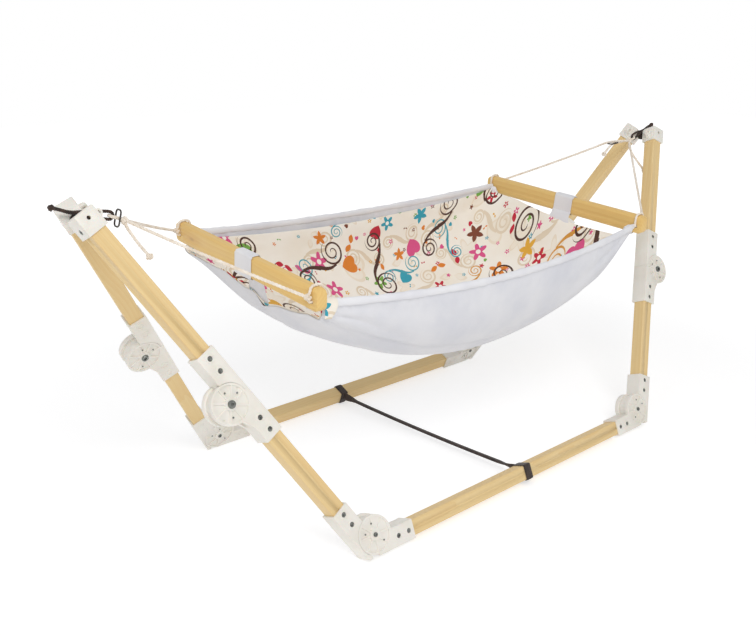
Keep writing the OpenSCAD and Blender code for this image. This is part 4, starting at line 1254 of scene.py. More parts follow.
@dataclass(frozen=True)
class Studio:
    """Plain soft light on a pale floor that fades into a white background."""

    world_level: float = 0.52
    key_power: float = 40
    key_size: float = 1.6
    key_place: tuple[float, float, float] = (-1.3, -2.3, 2.6)
    fill_power: float = 8
    fill_size: float = 1.8
    fill_place: tuple[float, float, float] = (-2.8, -0.4, 2.2)
    floor_size: float = 14
    near_glow: float = 0.42
    far_glow: float = 0.66
    bounce_glow: float = 0.16
    glow_start: float = 0.9
    glow_stop: float = 2.2
    aim: tuple[float, float, float] = (0, 0, 0.35)

    def build(self) -> None:
        """Sets the view, the world, the lamps and the floor."""
        bpy.context.scene.view_settings.view_transform = "Standard"
        self.world()
        self.lamp("key", self.key_place, self.key_power, self.key_size)
        self.lamp("fill", self.fill_place, self.fill_power, self.fill_size)
        self.floor()

    def world(self) -> None:
        """A white dome: plain light for surfaces, and full white for the camera and for reflections."""
        world = bpy.data.worlds.new("studio")
        bpy.context.scene.world = world
        world.use_nodes = True
        world.node_tree.nodes.clear()
        n = Nodes(world.node_tree)
        path = n.add("ShaderNodeLightPath")
        seen = n.math("MAXIMUM", path.outputs["Is Camera Ray"], path.outputs["Is Transmission Ray"])
        seen = n.math("MAXIMUM", seen, n.times(path.outputs["Is Glossy Ray"], 0.6))
        level = n.plus(self.world_level, n.times(seen, 1 - self.world_level))
        back = n.add("ShaderNodeBackground", {"Color": (1, 1, 1, 1), "Strength": level})
        n.feed(n.add("ShaderNodeOutputWorld").inputs["Surface"], back.outputs[0])

    def lamp(self, name: str, place: Sequence[float], power: float, size: float) -> None:
        """An area lamp that faces the hammock."""
        data = bpy.data.lights.new(name, "AREA")
        data.energy = power
        data.shape = "DISK"
        data.size = size
        thing = bpy.data.objects.new(name, data)
        ahead = Vector(self.aim) - Vector(place)
        thing.matrix_world = Matrix.Translation(place) @ ahead.to_track_quat("-Z", "Y").to_matrix().to_4x4()
        bpy.context.scene.collection.objects.link(thing)

    def floor(self) -> None:
        """A wide floor that takes the shadow and is lifted to white for the camera and for reflections; the lift
        is weaker near the stand, which paints a faint grey shade round it, and a small glow for every ray lights
        the hammock from below.
        """
        half = self.floor_size / 2
        mesh = bpy.data.meshes.new("floor")
        mesh.from_pydata([(-half, -half, 0), (half, -half, 0), (half, half, 0), (-half, half, 0)], [],
                         [(0, 1, 2, 3)])
        material = bpy.data.materials.new("floor")
        material.use_nodes = True
        material.node_tree.nodes.clear()
        n = Nodes(material.node_tree)
        path = n.add("ShaderNodeLightPath")
        tone = n.blend(path.outputs["Is Camera Ray"], (0.92, 0.92, 0.92, 1), (0.6, 0.6, 0.605, 1))
        shader = n.add("ShaderNodeBsdfPrincipled", {"Base Color": tone, "Roughness": 0.9})
        shader.inputs["Specular IOR Level"].default_value = 0.0
        seen = n.math("MAXIMUM", path.outputs["Is Camera Ray"], path.outputs["Is Glossy Ray"])
        seen = n.math("MAXIMUM", seen, path.outputs["Is Transmission Ray"])
        reach = n.vector("LENGTH", n.add("ShaderNodeTexCoord").outputs["Object"])
        # Painted shade: the glow is lowest near the stand and grows with distance, so the floor round the hammock
        # is painted a little grey.
        level = n.remap(reach, self.glow_start, self.glow_stop, self.near_glow, self.far_glow)
        strength = n.plus(n.times(seen, level), self.bounce_glow)
        glow = n.add("ShaderNodeEmission", {"Color": (1, 1, 1, 1), "Strength": strength})
        both = n.add("ShaderNodeAddShader", {0: shader.outputs[0], 1: glow.outputs[0]})
        n.feed(n.add("ShaderNodeOutputMaterial").inputs["Surface"], both.outputs[0])
        mesh.materials.append(material)
        thing = bpy.data.objects.new("floor", mesh)
        bpy.context.scene.collection.objects.link(thing)


# Cord work


@dataclass(frozen=True)
class Twine:
    """A kind of cord: its finish and slot, its number of strands, and the length of a turn in diameters."""

    finish: Cord
    slot: str
    strands: int = 3
    pitch: float = 3.4


WHITE_ROPE = Twine(COTTON_ROPE, "cotton_rope")
DARK_CORD = Twine(BROWN_CORD, "brown_cord", 4, 2.6)


@dataclass
class CordWork:
    """Ropes, cords and knots between the two tops and the spreader bars.

    The points repeat part.scad's: x outward and z upward from the middle of a lashing, at the right.
    """

    left_ring: tuple = (-66.5, 0, -2.5)
    right_ring: tuple = (-130.5, 0, -4)
    right_knot: tuple = (-58.5, 0, -2.5)
    left_pull: tuple = (0.91, 0, 0.41)
    right_pull: tuple = (0.94, 0, 0.34)
    left_ring_lean: float = 16
    right_ring_lean: float = 3
    sling_top: tuple = ((36.5, 2.5, 28.5), (25.5, 4, 24), (12.5, 4.2, 18.5), (0, 4.2, 16), (-14.5, 3.5, 15),
                        (-27.5, 2, 14))
    sling_low: tuple = ((-26, -2, 5), (-14.5, -3.5, 12.4), (0, -4.2, 16), (12.5, -4.2, 18.5), (25.5, -4, 24),
                        (36.5, -2.5, 28.5))
    sling_tip: tuple = (39, 0, 29.5)
    left_end: tuple = ((0, 0, 0), (-3, -2, -12), (-10, -5, -27), (-20, -8, -45), (-30, -10, -60),
                       (-34, -10, -66))
    ring_end: tuple = ((-27, -8, -9), (-37, -9, -15), (-46, -10, -22))
    knot_end: tuple = ((0, -3.7, -7.9), (0.5, -7.3, -18), (5, -29.2, -37), (13, -63.3, -58), (20, -87.7, -73),
                       (22, -95, -79))
    bend_share: float = 0.55
    bend_r: float = 3.6
    bar_knot_rise: float = 6
    sag: float = 2
    drawn_d: float = 5.8
    knot_pitch: float = 2.8
    eye_d: float = 5.3
    eye_pitch: float = 3
    sling_knot_r: float = 7
    grip_knot_r: float = 9
    grip_in: float = 11
    grip_out: float = 12
    loop_r: float = 6.4
    ring_bend: float = 6
    ring_to_loop: float = 9
    ring_cross: float = 5.15
    ring_lane: float = 3.3
    strand_y: float = 3.6
    lump_r: float = 10
    lump_half: float = 9
    lump_laps: float = 4.5
    lump_rise: float = 3.2
    squashed: float = 0.35
    fray: float = 0.5
    step: float = 1.3

    def cap_point(self, y: float) -> Points:
        """A point of a lashing's line, y across the near cap from its middle plane."""
        lean, tilt = math.radians(SIZES.leg_lean), SIZES.tilt
        s = SIZES.leg_len - SIZES.cord_hole_in
        z = s * math.cos(lean)
        return np.array([SIZES.corner_x + s * math.sin(lean),
                         -SIZES.half_spread + y * math.cos(tilt) + z * math.sin(tilt),
                         z * math.cos(tilt) - y * math.sin(tilt)])

    def lash_bend(self) -> float:
        """Where a lashing's line bends, across the near cap."""
        rise = SIZES.leg_len * math.cos(math.radians(SIZES.leg_lean)) * math.sin(SIZES.tilt)
        reach = (SIZES.half_spread - rise) / math.cos(SIZES.tilt)
        return SIZES.sleeve_half + self.bend_share * (reach - SIZES.sleeve_half)

    def top(self, p: Sequence[float]) -> Points:
        """A point given from the middle of the lashing."""
        m = self.cap_point(self.lash_bend())
        return np.array([m[0] + p[0], p[1], m[2] + p[2]])

    @staticmethod
    def hang_point(x: float, y: float, z: float) -> Points:
        """A point of the tilted hammock."""
        roll = math.radians(SIZES.hang_roll)
        rise = z - SIZES.hang_z
        return np.array([x, y * math.cos(roll) - rise * math.sin(roll),
                         SIZES.hang_z + y * math.sin(roll) + rise * math.cos(roll)])

    def half_loop(self, centre: Points, a: Points, b: Points) -> list:
        """Half a turn from direction b over a to the other side."""
        turn = np.radians(range(0, 181, 30))
        return [centre + self.loop_r * (math.cos(t) * np.asarray(b) + math.sin(t) * np.asarray(a))
                for t in turn]

    def bar_knot(self, x: float, z: float, side: Side) -> Points:
        """The middle of the knot on a bar's outer face."""
        out = SIZES.bar_t / 2 + SIZES.soft_gap + SIZES.knot_d / 2
        return self.hang_point(x + out, side.value * SIZES.rope_hole_y, z + self.bar_knot_rise)

    def bar_eye(self, x: float, z: float, side: Side) -> list:
        """A rope's eye round its bar: from the knot over the top, down inside and back out through the hole.

        Args:
            x: The bar's place along the stand.
            z: The bar's height.
            side: The end of the bar.

        Returns:
            The points of the eye, from the knot to the knot.
        """
        off = SIZES.rope_d / 2 + SIZES.soft_gap
        wide, high = SIZES.bar_t / 2 - SIZES.bar_round, SIZES.bar_h / 2 - SIZES.bar_round
        inside = SIZES.bar_t / 2 + off
        drop = SIZES.rope_hole_drop
        arcs = ((wide, high, SIZES.bar_round + off, range(0, 91, 30)),
                (-wide, high, SIZES.bar_round + off, range(90, 181, 30)),
                (self.bend_r - inside, self.bend_r - drop, self.bend_r, range(180, 271, 30)))
        line = [(cx + r * math.cos(a), cz + r * math.sin(a))
                for cx, cz, r, turn in arcs for a in np.radians(turn)]
        line += [(SIZES.bar_t / 2 - 2, -drop), (inside + 1, 1 - drop)]
        knot = self.bar_knot(x, z, side)
        return [knot, *[self.hang_point(x + p, side.value * SIZES.rope_hole_y, z + q) for p, q in line], knot]

    def bar_route(self, x: float, z: float, side: Side, goal: Points) -> list:
        """A rope's way from its knot at the bar to a goal, with a little sag."""
        start = self.bar_knot(x, z, side)
        up = np.array([0, 0, 1.0])
        run = [start + k * (goal - start) - up * self.sag * 4 * k * (1 - k) for k in (0.15, 0.4, 0.65, 0.87)]
        return [start, *run, goal]

    @staticmethod
    def at_end(points: Sequence, end: End) -> Points:
        """Points of one end, moved to their place in the row frame."""
        return carried(np.asarray(points, float) * np.array([end.value, 1, 1]), Places.above_base())

    def placed(self, points: Sequence, end: End) -> Points:
        """A smooth line through points of one end, in the row frame."""
        return self.at_end(smooth_way(points, self.step), end)

    def rope(self, name: str, points: Sequence, end: End, body: str,
             nodes: Sequence[str], twine: Twine = WHITE_ROPE,
             fray: float = 0.0) -> Thing:
        """Args:
            name: The piece's name.
            points: The points of its route, for the right-hand end.
            end: The end of the stand that it is at.
            body: The body that it rides on.
            nodes: The CAD nodes that it stands for.
            twine: What it is made of.
            fray: How far the strands part at the end.

        Returns:
            The piece.
        """
        way = self.placed(points, end)
        shell = Shell()
        laid_rope(shell, way, self.drawn_d, twine.strands, twine.pitch, fray)
        piece = settled(shell.piece(name, twine.finish.material(twine.slot)), body, twine.slot, *nodes)
        return piece

    def knots(self, name: str, end: End, body: str, spots: Sequence[tuple[Points, Sequence[float], float]],
              twine: Twine = WHITE_ROPE, eyes: Sequence[list] = ()) -> Thing:
        """Makes a group of tight overhand knots, with the eyes that they close.

        Args:
            name: The piece's name.
            end: The end of the stand that they are at.
            body: The body that they ride on.
            spots: For each knot its middle, the rope's direction in the row frame and its radius.
            twine: What they are made of.
            eyes: The line of each eye.

        Returns:
            The piece.
        """
        shell = Shell()
        for middle, along, radius in spots:
            centre = self.at_end([middle], end)[0]
            core = radius - SIZES.rope_d / 2
            through = [centre - unit(along) * core, centre, centre + unit(along) * core]
            for line in (overhand(centre, np.array(along, float), core), through):
                laid_rope(shell, smooth_way(line, self.step), self.drawn_d, 3, self.knot_pitch)
        for line in eyes:
            laid_rope(shell, smooth_way(self.at_end(line, end), self.step), self.eye_d, 3, self.eye_pitch)
        return settled(shell.piece(name, twine.finish.material(twine.slot)), body, twine.slot)

    def hitches(self, name: str, x: float, z: float, end: End, sides: Sequence[Side]) -> Thing:
        """The knots and eyes of ropes at their bar, as one piece."""
        spots = [(self.bar_knot(x, z, side), (0.3, 0, 1), SIZES.knot_d / 2) for side in sides]
        return self.knots(name, end, "hammock", spots, eyes=[self.bar_eye(x, z, side) for side in sides])

    def left_side(self) -> None:
        """One rope from bar end to bar end through the ring and round the sling, and its tail."""
        x, z, end = -SIZES.bar_left_x, SIZES.rim_left, End.LEFT
        pull = unit(self.left_pull)
        ring = self.top(self.left_ring)
        grip = ring - self.grip_in * pull
        in_ring = np.array([0, SIZES.ring_w / 2 - (SIZES.wire_d + SIZES.rope_d) / 2 - SIZES.soft_gap, 0])
        in_grip = np.array([0, self.strand_y, 0])
        near = [*self.bar_route(x, z, Side.NEAR, grip - in_grip), ring - in_ring]
        far = [*self.bar_route(x, z, Side.FAR, grip + in_grip), ring + in_ring]
        turn = self.half_loop(ring + self.ring_to_loop * pull, pull, (0, -1, 0))
        tail = [grip + np.array(p) for p in self.left_end]
        bar_knots = self.hitches("left_bar_hitches", x, z, end, list(Side))
        grip_knot = self.knots("left_grip_knot", end, "hammock", [(grip, (-1, 0, 0.4), self.grip_knot_r)])
        end_knot = self.knots("left_end_knot", end, "hammock", [(tail[-1], (0.4, 0, -1), SIZES.knot_d / 2)])
        self.rope("left_rope", [*near, *turn, *far[::-1]], end, "hammock",
                  ["left_ropes"])
        self.rope("left_rope_tail", tail, end, "hammock", [], fray=self.fray)

    def right_side(self) -> None:
        """The far rope goes through the ring, round the sling and back; the near rope joins it at a knot."""
        x, z, end = SIZES.bar_right_x, SIZES.rim_right, End.RIGHT
        pull = unit(self.right_pull)
        grip, ring = self.top(self.right_knot), self.top(self.right_ring)
        lean = math.radians(self.right_ring_lean)
        e = np.array([math.cos(lean), 0, math.sin(lean)])
        lane = self.ring_lane * np.array([-math.sin(lean), 0, math.cos(lean)])
        across = np.array([0, self.ring_cross, 0])
        in_grip = np.array([0, self.strand_y, 0])
        inner, outer = ring - e * SIZES.ring_h / 2, ring + e * SIZES.ring_h / 2
        turn = self.half_loop(grip + self.grip_out * pull, pull, (0, -1, 0))
        far = [*self.bar_route(x, z, Side.FAR, inner + across + lane), outer - across + lane, grip - in_grip,
               *turn, grip + in_grip, outer + across - lane, inner - across - lane,
               *[ring + np.array(p) for p in self.ring_end]]
        near = self.bar_route(x, z, Side.NEAR, grip)
        far_knot = self.hitches("right_far_bar_hitch", x, z, end, [Side.FAR])
        near_knot = self.hitches("right_near_bar_hitch", x, z, end, [Side.NEAR])
        grip_knot = self.knots("right_grip_knot", end, "hammock", [(grip, (1, 0, 0.35), self.grip_knot_r)])
        end_knot = self.knots("right_end_knot", end, "hammock", [(far[-1], (-1, 0, -0.6), SIZES.knot_d / 2)])
        self.rope("right_far_rope", far, end, "hammock",
                  ["right_ropes"])
        self.rope("right_near_rope", near, end, "hammock", [])
        slope = np.array([1, math.tan(SIZES.tilt), 1])
        loose = [grip + np.array(p) * slope for p in self.knot_end]
        loose_knot = self.knots("loose_end_knot", end, "slings", [(loose[-1], (0.3, 0, -1), SIZES.knot_d / 2)])
        self.rope("loose_rope", loose, end, "slings", ["loose_rope_end"],
                  fray=self.fray)

    def sling(self, end: End) -> None:
        """A dark cord over the lashing, round the rope's loop and back to its knot."""
        if end is End.LEFT:
            pull = unit(self.left_pull)
            loop = self.top(self.left_ring) + self.ring_to_loop * pull
        else:
            pull = unit(self.right_pull)
            loop = self.top(self.right_knot) + self.grip_out * pull
        centre = loop + (2 * self.loop_r - SIZES.rope_d - SIZES.soft_gap) * pull
        turn = self.half_loop(centre, -pull, (-pull[2], 0, pull[0]))
        route = [*[self.top(p) for p in self.sling_top], *turn, *[self.top(p) for p in self.sling_low]]
        name = f"{word(end)}_sling"
        tip = (self.top(self.sling_tip), (end.value, 0, 0.4), self.sling_knot_r)
        knot = self.knots(f"{name}_knot", end, "slings", [tip], DARK_CORD)
        self.rope(f"{name}_cord", route, end, "slings", [name], DARK_CORD)

    def lashing(self, end: End) -> None:
        """A dark cord from cap to cap, wound about itself between them."""
        near = [self.cap_point(y) for y in (-SIZES.timber_w / 2, 0, SIZES.sleeve_half, self.lash_bend())]
        far = [p * np.array([1, -1, 1]) for p in near[::-1]]
        name = f"{word(end)}_lashing"
        body = f"far_{word(end)}_upper"
        middle = self.top((0, 0, self.lump_rise))
        t = np.linspace(0, self.lump_laps * 2 * math.pi, 130)
        reach = self.lump_r - SIZES.rope_d / 2
        turns = np.stack([middle[0] + reach * np.cos(t), (self.lump_half - 0.5) * (t / t[-1] * 2 - 1),
                          middle[2] + reach * np.sin(t)], axis=1)
        shell = Shell()
        laid_rope(shell, self.placed(turns, end), SIZES.rope_d, DARK_CORD.strands, DARK_CORD.pitch)
        core = smooth_way([(middle[0], y, middle[2]) for y in (-self.lump_half, 0, self.lump_half)], 3)
        shell.add(*tube(self.at_end(core, end), reach - 1, 14))
        lump = settled(shell.piece(f"{name}_turns", BROWN_CORD.material("brown_cord")), body, "brown_cord")
        cord = self.rope(f"{name}_cord", [*near, *far], end, body, [name],
                         DARK_CORD)
        for piece, point in ((lump, middle + np.array((0, self.lump_half, 0))), (cord, far[-1])):
            anchor = tuple(self.at_end([point], end)[0] * MM)
            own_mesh(piece)

    def rings(self) -> None:
        """Both adjuster rings, as bent wire."""
        outline = boxed(SIZES.ring_w / 2, SIZES.ring_h / 2, self.ring_bend, 15)
        outline = np.column_stack([np.zeros(len(outline)), outline])
        spots = ((self.left_ring_lean, self.left_ring, Matrix.Diagonal((-1, 1, 1, 1)), outline),
                 (self.right_ring_lean, self.right_ring, Matrix.Identity(4), outline[:, [2, 1, 0]]))
        shell = Shell()
        for lean, middle, flip, line in spots:
            turn = Matrix.Translation(self.top(middle)) @ Matrix.Rotation(-math.radians(lean), 4, "Y")
            shell.add(*closed_tube(carried(line, Places.above_base() @ flip @ turn), SIZES.wire_d / 2, 12))
        piece = shell.piece("adjuster_ring_wires", DARK_WIRE.material("ring_wire"))
        settled(piece, "hammock", "ring_wire", "adjuster_rings")

    def build(self) -> None:
        """Makes all the cord work."""
        self.left_side()
        self.right_side()
        for end in End:
            self.sling(end)
            self.lashing(end)
        self.rings()
        log.info("cord work: five ropes, two slings, two lashings, two rings")


# Stand


def eased(node: str, finish: FinishBase, slot: str, edge: float, grain: Optional[Matrix] = None,
          seed: float = 0.0) -> Thing:
    """Replaces a CAD node with a copy whose sharp edges are eased, as on a moulding or a planed timber.

    Args:
        node: The CAD node.
        finish: The finish.
        slot: The record's material slot.
        edge: How far the edges are eased, in millimetres.
        grain: The frame whose z runs along the timber; with it the copy gets a grain attribute.
        seed: Shifts the grain so that no two timbers are alike.

    Returns:
        The new piece.
    """
    work = bmesh.new()
    work.from_mesh(frame["nodes"][node].data)
    bmesh.ops.remove_doubles(work, verts=work.verts, dist=2e-6)
    bmesh.ops.dissolve_limit(work, angle_limit=math.radians(0.6), verts=work.verts, edges=work.edges)
    if edge > 0:
        sharp = [e for e in work.edges if len(e.link_faces) == 2 and e.calc_face_angle(0) > math.radians(32)]
        bmesh.ops.bevel(work, geom=sharp, offset=edge * MM, offset_type="OFFSET", segments=2, profile=0.5,
                        affect="EDGES", clamp_overlap=True)
    bmesh.ops.triangulate(work, faces=[f for f in work.faces if len(f.verts) > 4])
    mesh = bpy.data.meshes.new(f"{node}_eased")
    work.to_mesh(mesh)
    work.free()
    if grain is not None:
        local = carried(coordinates(mesh) / MM, grain.inverted()) * MM
        local += np.array([0.021 + 0.013 * math.sin(seed * 5.1), 0.034 * math.cos(seed * 3.7), seed * 1.37])
        attribute = mesh.attributes.new("grain", "FLOAT_VECTOR", "POINT")
        attribute.data.foreach_set("vector", local.astype(np.float32).ravel())
    piece = linked(f"{node}_eased", mesh, finish.material(slot), 34)
    return settled(piece, frame["nodes"][node]["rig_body"], slot, node)


@dataclass
class Stand:
    """The two side frames: timbers in moulded sleeves, which fold at the corners and knees."""

    timber_ease: float = 0.0
    plastic_ease: float = 0.8

    def timbers(self) -> None:
        """Base beams and legs in planed pine."""
        seed = 0.0
        for side in Side:
            seed += 1
            beam = Places.side(side) @ Matrix.Rotation(math.pi / 2, 4, "Y")
            eased(f"{word(side)}_base_beam", PINE, "pine", self.timber_ease, beam, seed)
            for end in End:
                for part in ("lower", "upper"):
                    seed += 1
                    node = f"{word(side)}_{word(end)}_{part}_leg"
                    eased(node, PINE, "pine", self.timber_ease, Places.leg(side, end), seed)

    def mouldings(self) -> None:
        """Brackets, clevises, tongues and caps with eased edges."""
        for side in Side:
            for end in End:
                for part in ("base_bracket", "leg_bracket", "knee_clevis", "knee_tongue", "apex_cap"):
                    eased(f"{word(side)}_{word(end)}_{part}", IVORY, "ivory_plastic", self.plastic_ease)

    def build(self) -> None:
        """Makes the timbers and the mouldings."""
        self.timbers()
        self.mouldings()
        log.info("stand: ten timbers and twenty mouldings")


@dataclass
class Fasteners:
    """Screws, hinge bolts and the bosses round the screws. A geometry tree lays one of them on each place.

    Attributes:
        head_d: The diameter of a screw head.
        head_h: Its height.
        bolt_d: The diameter of a hinge bolt's head.
        bolt_h: Its height.
        socket_share: The socket's width over the head's.
        boss_d: The diameter of a moulded ring round a screw.
        boss_rise: How far that ring stands out.
        pin_d: The diameter of the small pins in the hinge discs.
        pin_h: Their height.
        pin_out: How far the pins sit from the hinge bolt.
        pin_turns: Their angles round it.
        pin_show: How far they stand out of the discs.
        corner_turn: The first pin's angle at a corner.
        knee_turn: The first pin's angle at a knee.
        small_bolt: The corner bolts' size over the knee bolts'.
    """

    head_d: float = 9
    head_h: float = 1.6
    bolt_d: float = 14
    bolt_h: float = 3.6
    socket_share: float = 0.42
    boss_d: float = 16.5
    boss_rise: float = 1.0
    pin_d: float = 3.4
    pin_h: float = 0.8
    pin_out: float = 22
    pin_turns: tuple[float, ...] = (0, 62, 205)
    pin_show: float = 0.2
    corner_turn: float = 20
    knee_turn: float = 100
    small_bolt: float = 0.62

    @staticmethod
    def turned(profile: Sequence[tuple[float, float]], sides: int) -> list:
        """A ring of points for each radius and height of a profile."""
        around = np.linspace(0, 2 * math.pi, sides, endpoint=False)
        return [[(r * math.cos(a), r * math.sin(a), z) for a in around] for r, z in profile]

    def ring(self) -> Thing:
        """The moulded ring round a screw head, its foot at z = 0."""
        inner, outer, rise = self.head_d / 2 + 0.5, self.boss_d / 2, self.boss_rise
        profile = [(inner, -1.0), (inner, 0.6 * rise), (inner + 0.4, rise), (outer - 0.9, rise),
                   (outer, 0.3 * rise), (outer, -1.0)]
        shell = Shell()
        shell.add(np.array(self.turned(profile, 32)).reshape(-1, 3), lattice(len(profile), 32, closed=True))
        return shell.piece("boss_ring", IVORY.material("ivory_plastic"), 50)

    def turned_head(self, name: str, diameter: float, height: float, sides: int) -> Thing:
        """A low domed head with a sunk hexagon socket, its flat face at z = 0.

        Args:
            name: The template's name.
            diameter: The head's diameter.
            height: The head's height.
            sides: Points round the rim, a multiple of six.

        Returns:
            The template object, in metres.
        """
        r = diameter / 2
        socket = r * self.socket_share
        rings = self.turned([(r, -height), (r, -0.35 * height), (0.93 * r, -0.12 * height), (0.72 * r, 0.0),
                             (1.12 * socket, 0.0)], sides)
        for z in (-0.12 * height, -0.72 * height):
            ring = []
            for a in np.linspace(0, 2 * math.pi, sides, endpoint=False):
                flat = socket * math.cos(math.pi / 6) / math.cos((a % (math.pi / 3)) - math.pi / 6)
                ring.append((flat * math.cos(a), flat * math.sin(a), z))
            rings.append(ring)
        shell = Shell()
        shell.add(np.array(rings).reshape(-1, 3), lattice(len(rings), sides))
        return shell.piece(name, SCREW_STEEL.material("dark_steel"), 28)

    @staticmethod
    def tree() -> Tree:
        """The geometry tree: a copy of the head on each point, turned by the point's own attribute."""
        tree = bpy.data.node_groups.new("heads_on_points", "GeometryNodeTree")
        for title, kind, way in (("Geometry", "NodeSocketGeometry", "INPUT"),
                                 ("Head", "NodeSocketObject", "INPUT"),
                                 ("Finish", "NodeSocketMaterial", "INPUT"),
                                 ("Scale", "NodeSocketFloat", "INPUT"),
                                 ("Geometry", "NodeSocketGeometry", "OUTPUT")):
            tree.interface.new_socket(title, in_out=way, socket_type=kind)
        n = Nodes(tree)
        start = n.add("NodeGroupInput")
        info = n.add("GeometryNodeObjectInfo", {"Object": start.outputs["Head"]})
        turn = n.add("GeometryNodeInputNamedAttribute", {"Name": "turn"}, data_type="FLOAT_VECTOR")
        euler = n.add("FunctionNodeEulerToRotation", {0: turn.outputs["Attribute"]})
        points = n.add("GeometryNodeMeshToPoints", {"Mesh": start.outputs["Geometry"]})
        scale = n.three(*[start.outputs["Scale"]] * 3)
        laid = n.add("GeometryNodeInstanceOnPoints",
                     {"Points": points.outputs[0], "Instance": info.outputs["Geometry"],
                      "Rotation": euler.outputs[0], "Scale": scale})
        real = n.add("GeometryNodeRealizeInstances", {0: laid.outputs[0]})
        dressed = n.add("GeometryNodeSetMaterial",
                        {"Geometry": real.outputs[0], "Material": start.outputs["Finish"]})
        n.feed(n.add("NodeGroupOutput").inputs["Geometry"], dressed.outputs[0])
        return tree

    def lay(self, name: str, places: Sequence[Matrix], head: Thing, tree: Tree, node: str,
            slot: str, replace: bool = True, size: float = 1.0) -> None:
        """Lays heads on places through the tree and keeps the result as a plain mesh.

        Args:
            name: The piece's name.
            places: Each head's frame in millimetres, z outward.
            head: The template.
            tree: The geometry tree.
            node: The CAD node that the piece stands for, or whose body it rides.
            slot: The record's material slot; not used.
            replace: Whether the piece stands for the node.
            size: The scale of each head.
        """
        mesh = bpy.data.meshes.new(f"{name}_points")
        mesh.from_pydata([tuple(p.translation * MM) for p in places], [], [])
        turn = mesh.attributes.new("turn", "FLOAT_VECTOR", "POINT")
        turns = np.array([self.proper(p).to_euler() for p in places], np.float32)
        turn.data.foreach_set("vector", turns.ravel())
        carrier = bpy.data.objects.new(f"{name}_points", mesh)
        bpy.context.scene.collection.objects.link(carrier)
        modifier = carrier.modifiers.new("heads", "NODES")
        modifier.node_group = tree
        ids = {item.name: item.identifier for item in tree.interface.items_tree if item.in_out == "INPUT"}
        modifier[ids["Head"]] = head
        modifier[ids["Finish"]] = head.data.materials[0]
        modifier[ids["Scale"]] = size
        graph = bpy.context.evaluated_depsgraph_get()
        result = bpy.data.meshes.new_from_object(carrier.evaluated_get(graph))
        bpy.data.objects.remove(carrier)
        piece = linked(name, result, head.data.materials[0], 28)
        settled(piece, frame["nodes"][node]["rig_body"], slot, *([node] if replace else []))

    @staticmethod
    def proper(place: Matrix) -> Matrix:
        """The place's turn without its mirror: a turn whose z is the place's z."""
        z = Vector(place.col[2][:3]).normalized()
        x = Vector(place.col[0][:3]).normalized()
        y = z.cross(x)
        return Matrix((x, y, z)).transposed()

    def build(self) -> None:
        """Lays every screw and bolt head."""
        tree = self.tree()
        screw = self.turned_head("screw_head", self.head_d, self.head_h, 24)
        bolt = self.turned_head("bolt_head", self.bolt_d, self.bolt_h, 30)
        boss = self.ring()
        pin = self.turned_head("pin_head", self.pin_d, self.pin_h, 12)
        outward = Matrix.Rotation(math.pi / 2, 4, "X")
        sink = SIZES.sleeve_half - SIZES.screw_sink + self.head_h
        disc = SIZES.sleeve_half + SIZES.boss_h
        screws: dict[tuple[str, str], list[Matrix]] = {}
        bosses: dict[tuple[str, str], list[Matrix]] = {}

        def pair(base: Matrix, x: float, z: float, out: float) -> list[Matrix]:
            """Places on the outward and on the inward face of a sleeve."""
            return [base @ Matrix.Translation((x, -out, z)) @ outward,
                    base @ Matrix.Translation((x, out, z)) @ outward.inverted()]

        def both(base: Matrix, spots: Sequence[tuple[float, float]], name: str) -> None:
            """Notes the screws at some spots of a sleeve, with the rings round them."""
            for noted, out in ((screws, sink), (bosses, SIZES.sleeve_half)):
                places = [place for x, z in spots for place in pair(base, x, z, out)]
                noted.setdefault((name, f"{name}_screws"), []).extend(places)

        def pins(hub: Matrix, turn: float) -> list[Matrix]:
            """Places of three pins in each of a hinge's two discs."""
            angles = [math.radians(turn + a) for a in self.pin_turns]
            spots = [(self.pin_out * math.cos(a), self.pin_out * math.sin(a)) for a in angles]
            return [place for x, z in spots for place in pair(hub, x, z, disc + self.pin_show)]

        for side in Side:
            s = word(side)
            corner, small = [], []
            for end in End:
                both(Places.end(side, end), [(SIZES.corner_x - a, 0) for a in SIZES.corner_screws], f"{s}_base")
                hub = Places.end(side, end) @ Matrix.Translation((SIZES.pivot_x, 0, SIZES.corner_pivot))
                corner += pair(hub, 0, 0, disc + self.bolt_h * self.small_bolt)
                small += pins(hub, self.corner_turn)
            node = f"{s}_corner_bolts"
            self.lay(f"{s}_corner_bolt_heads", corner, bolt, tree, node, "bolt_steel", size=self.small_bolt)
            self.lay(f"{s}_corner_pins", small, pin, tree, node, "bolt_steel", replace=False)
            for end in End:
                leg = Places.leg(side, end)
                name = f"{s}_{word(end)}"
                low = [(0, z) for z in (*SIZES.corner_screws, *[SIZES.knee_at - a for a in SIZES.knee_screws])]
                both(leg, low, f"{name}_lower")
                both(leg, [(0, SIZES.knee_at + a) for a in SIZES.knee_screws], f"{name}_upper")
                cap = leg @ Matrix.Translation((0, 0, SIZES.leg_len - SIZES.cap_screw_in))
                turned = cap @ Matrix.Rotation(math.pi / 2, 4, "Z") @ Matrix.Translation((0, -sink, 0)) @ outward
                screws[f"{name}_upper", f"{name}_upper_screws"].append(turned)
                hub = leg @ Matrix.Translation((SIZES.knee_off, 0, SIZES.knee_at))
                node = f"{name}_knee_bolt"
                heads = pair(hub, 0, 0, disc + self.bolt_h)
                self.lay(f"{name}_knee_bolt_heads", heads, bolt, tree, node, "bolt_steel")
                small = pins(hub, self.knee_turn)
                self.lay(f"{name}_knee_pins", small, pin, tree, node, "bolt_steel", replace=False)
        for (name, node), places in screws.items():
            self.lay(f"{name}_screw_heads", places, screw, tree, node, "screw_metal")
            self.lay(f"{name}_screw_bosses", bosses[name, node], boss, tree, node, "ivory_plastic", replace=False)
        for template in (screw, bolt, boss, pin):
            bpy.data.objects.remove(template)
        log.info("fasteners: screws and bolt heads laid")


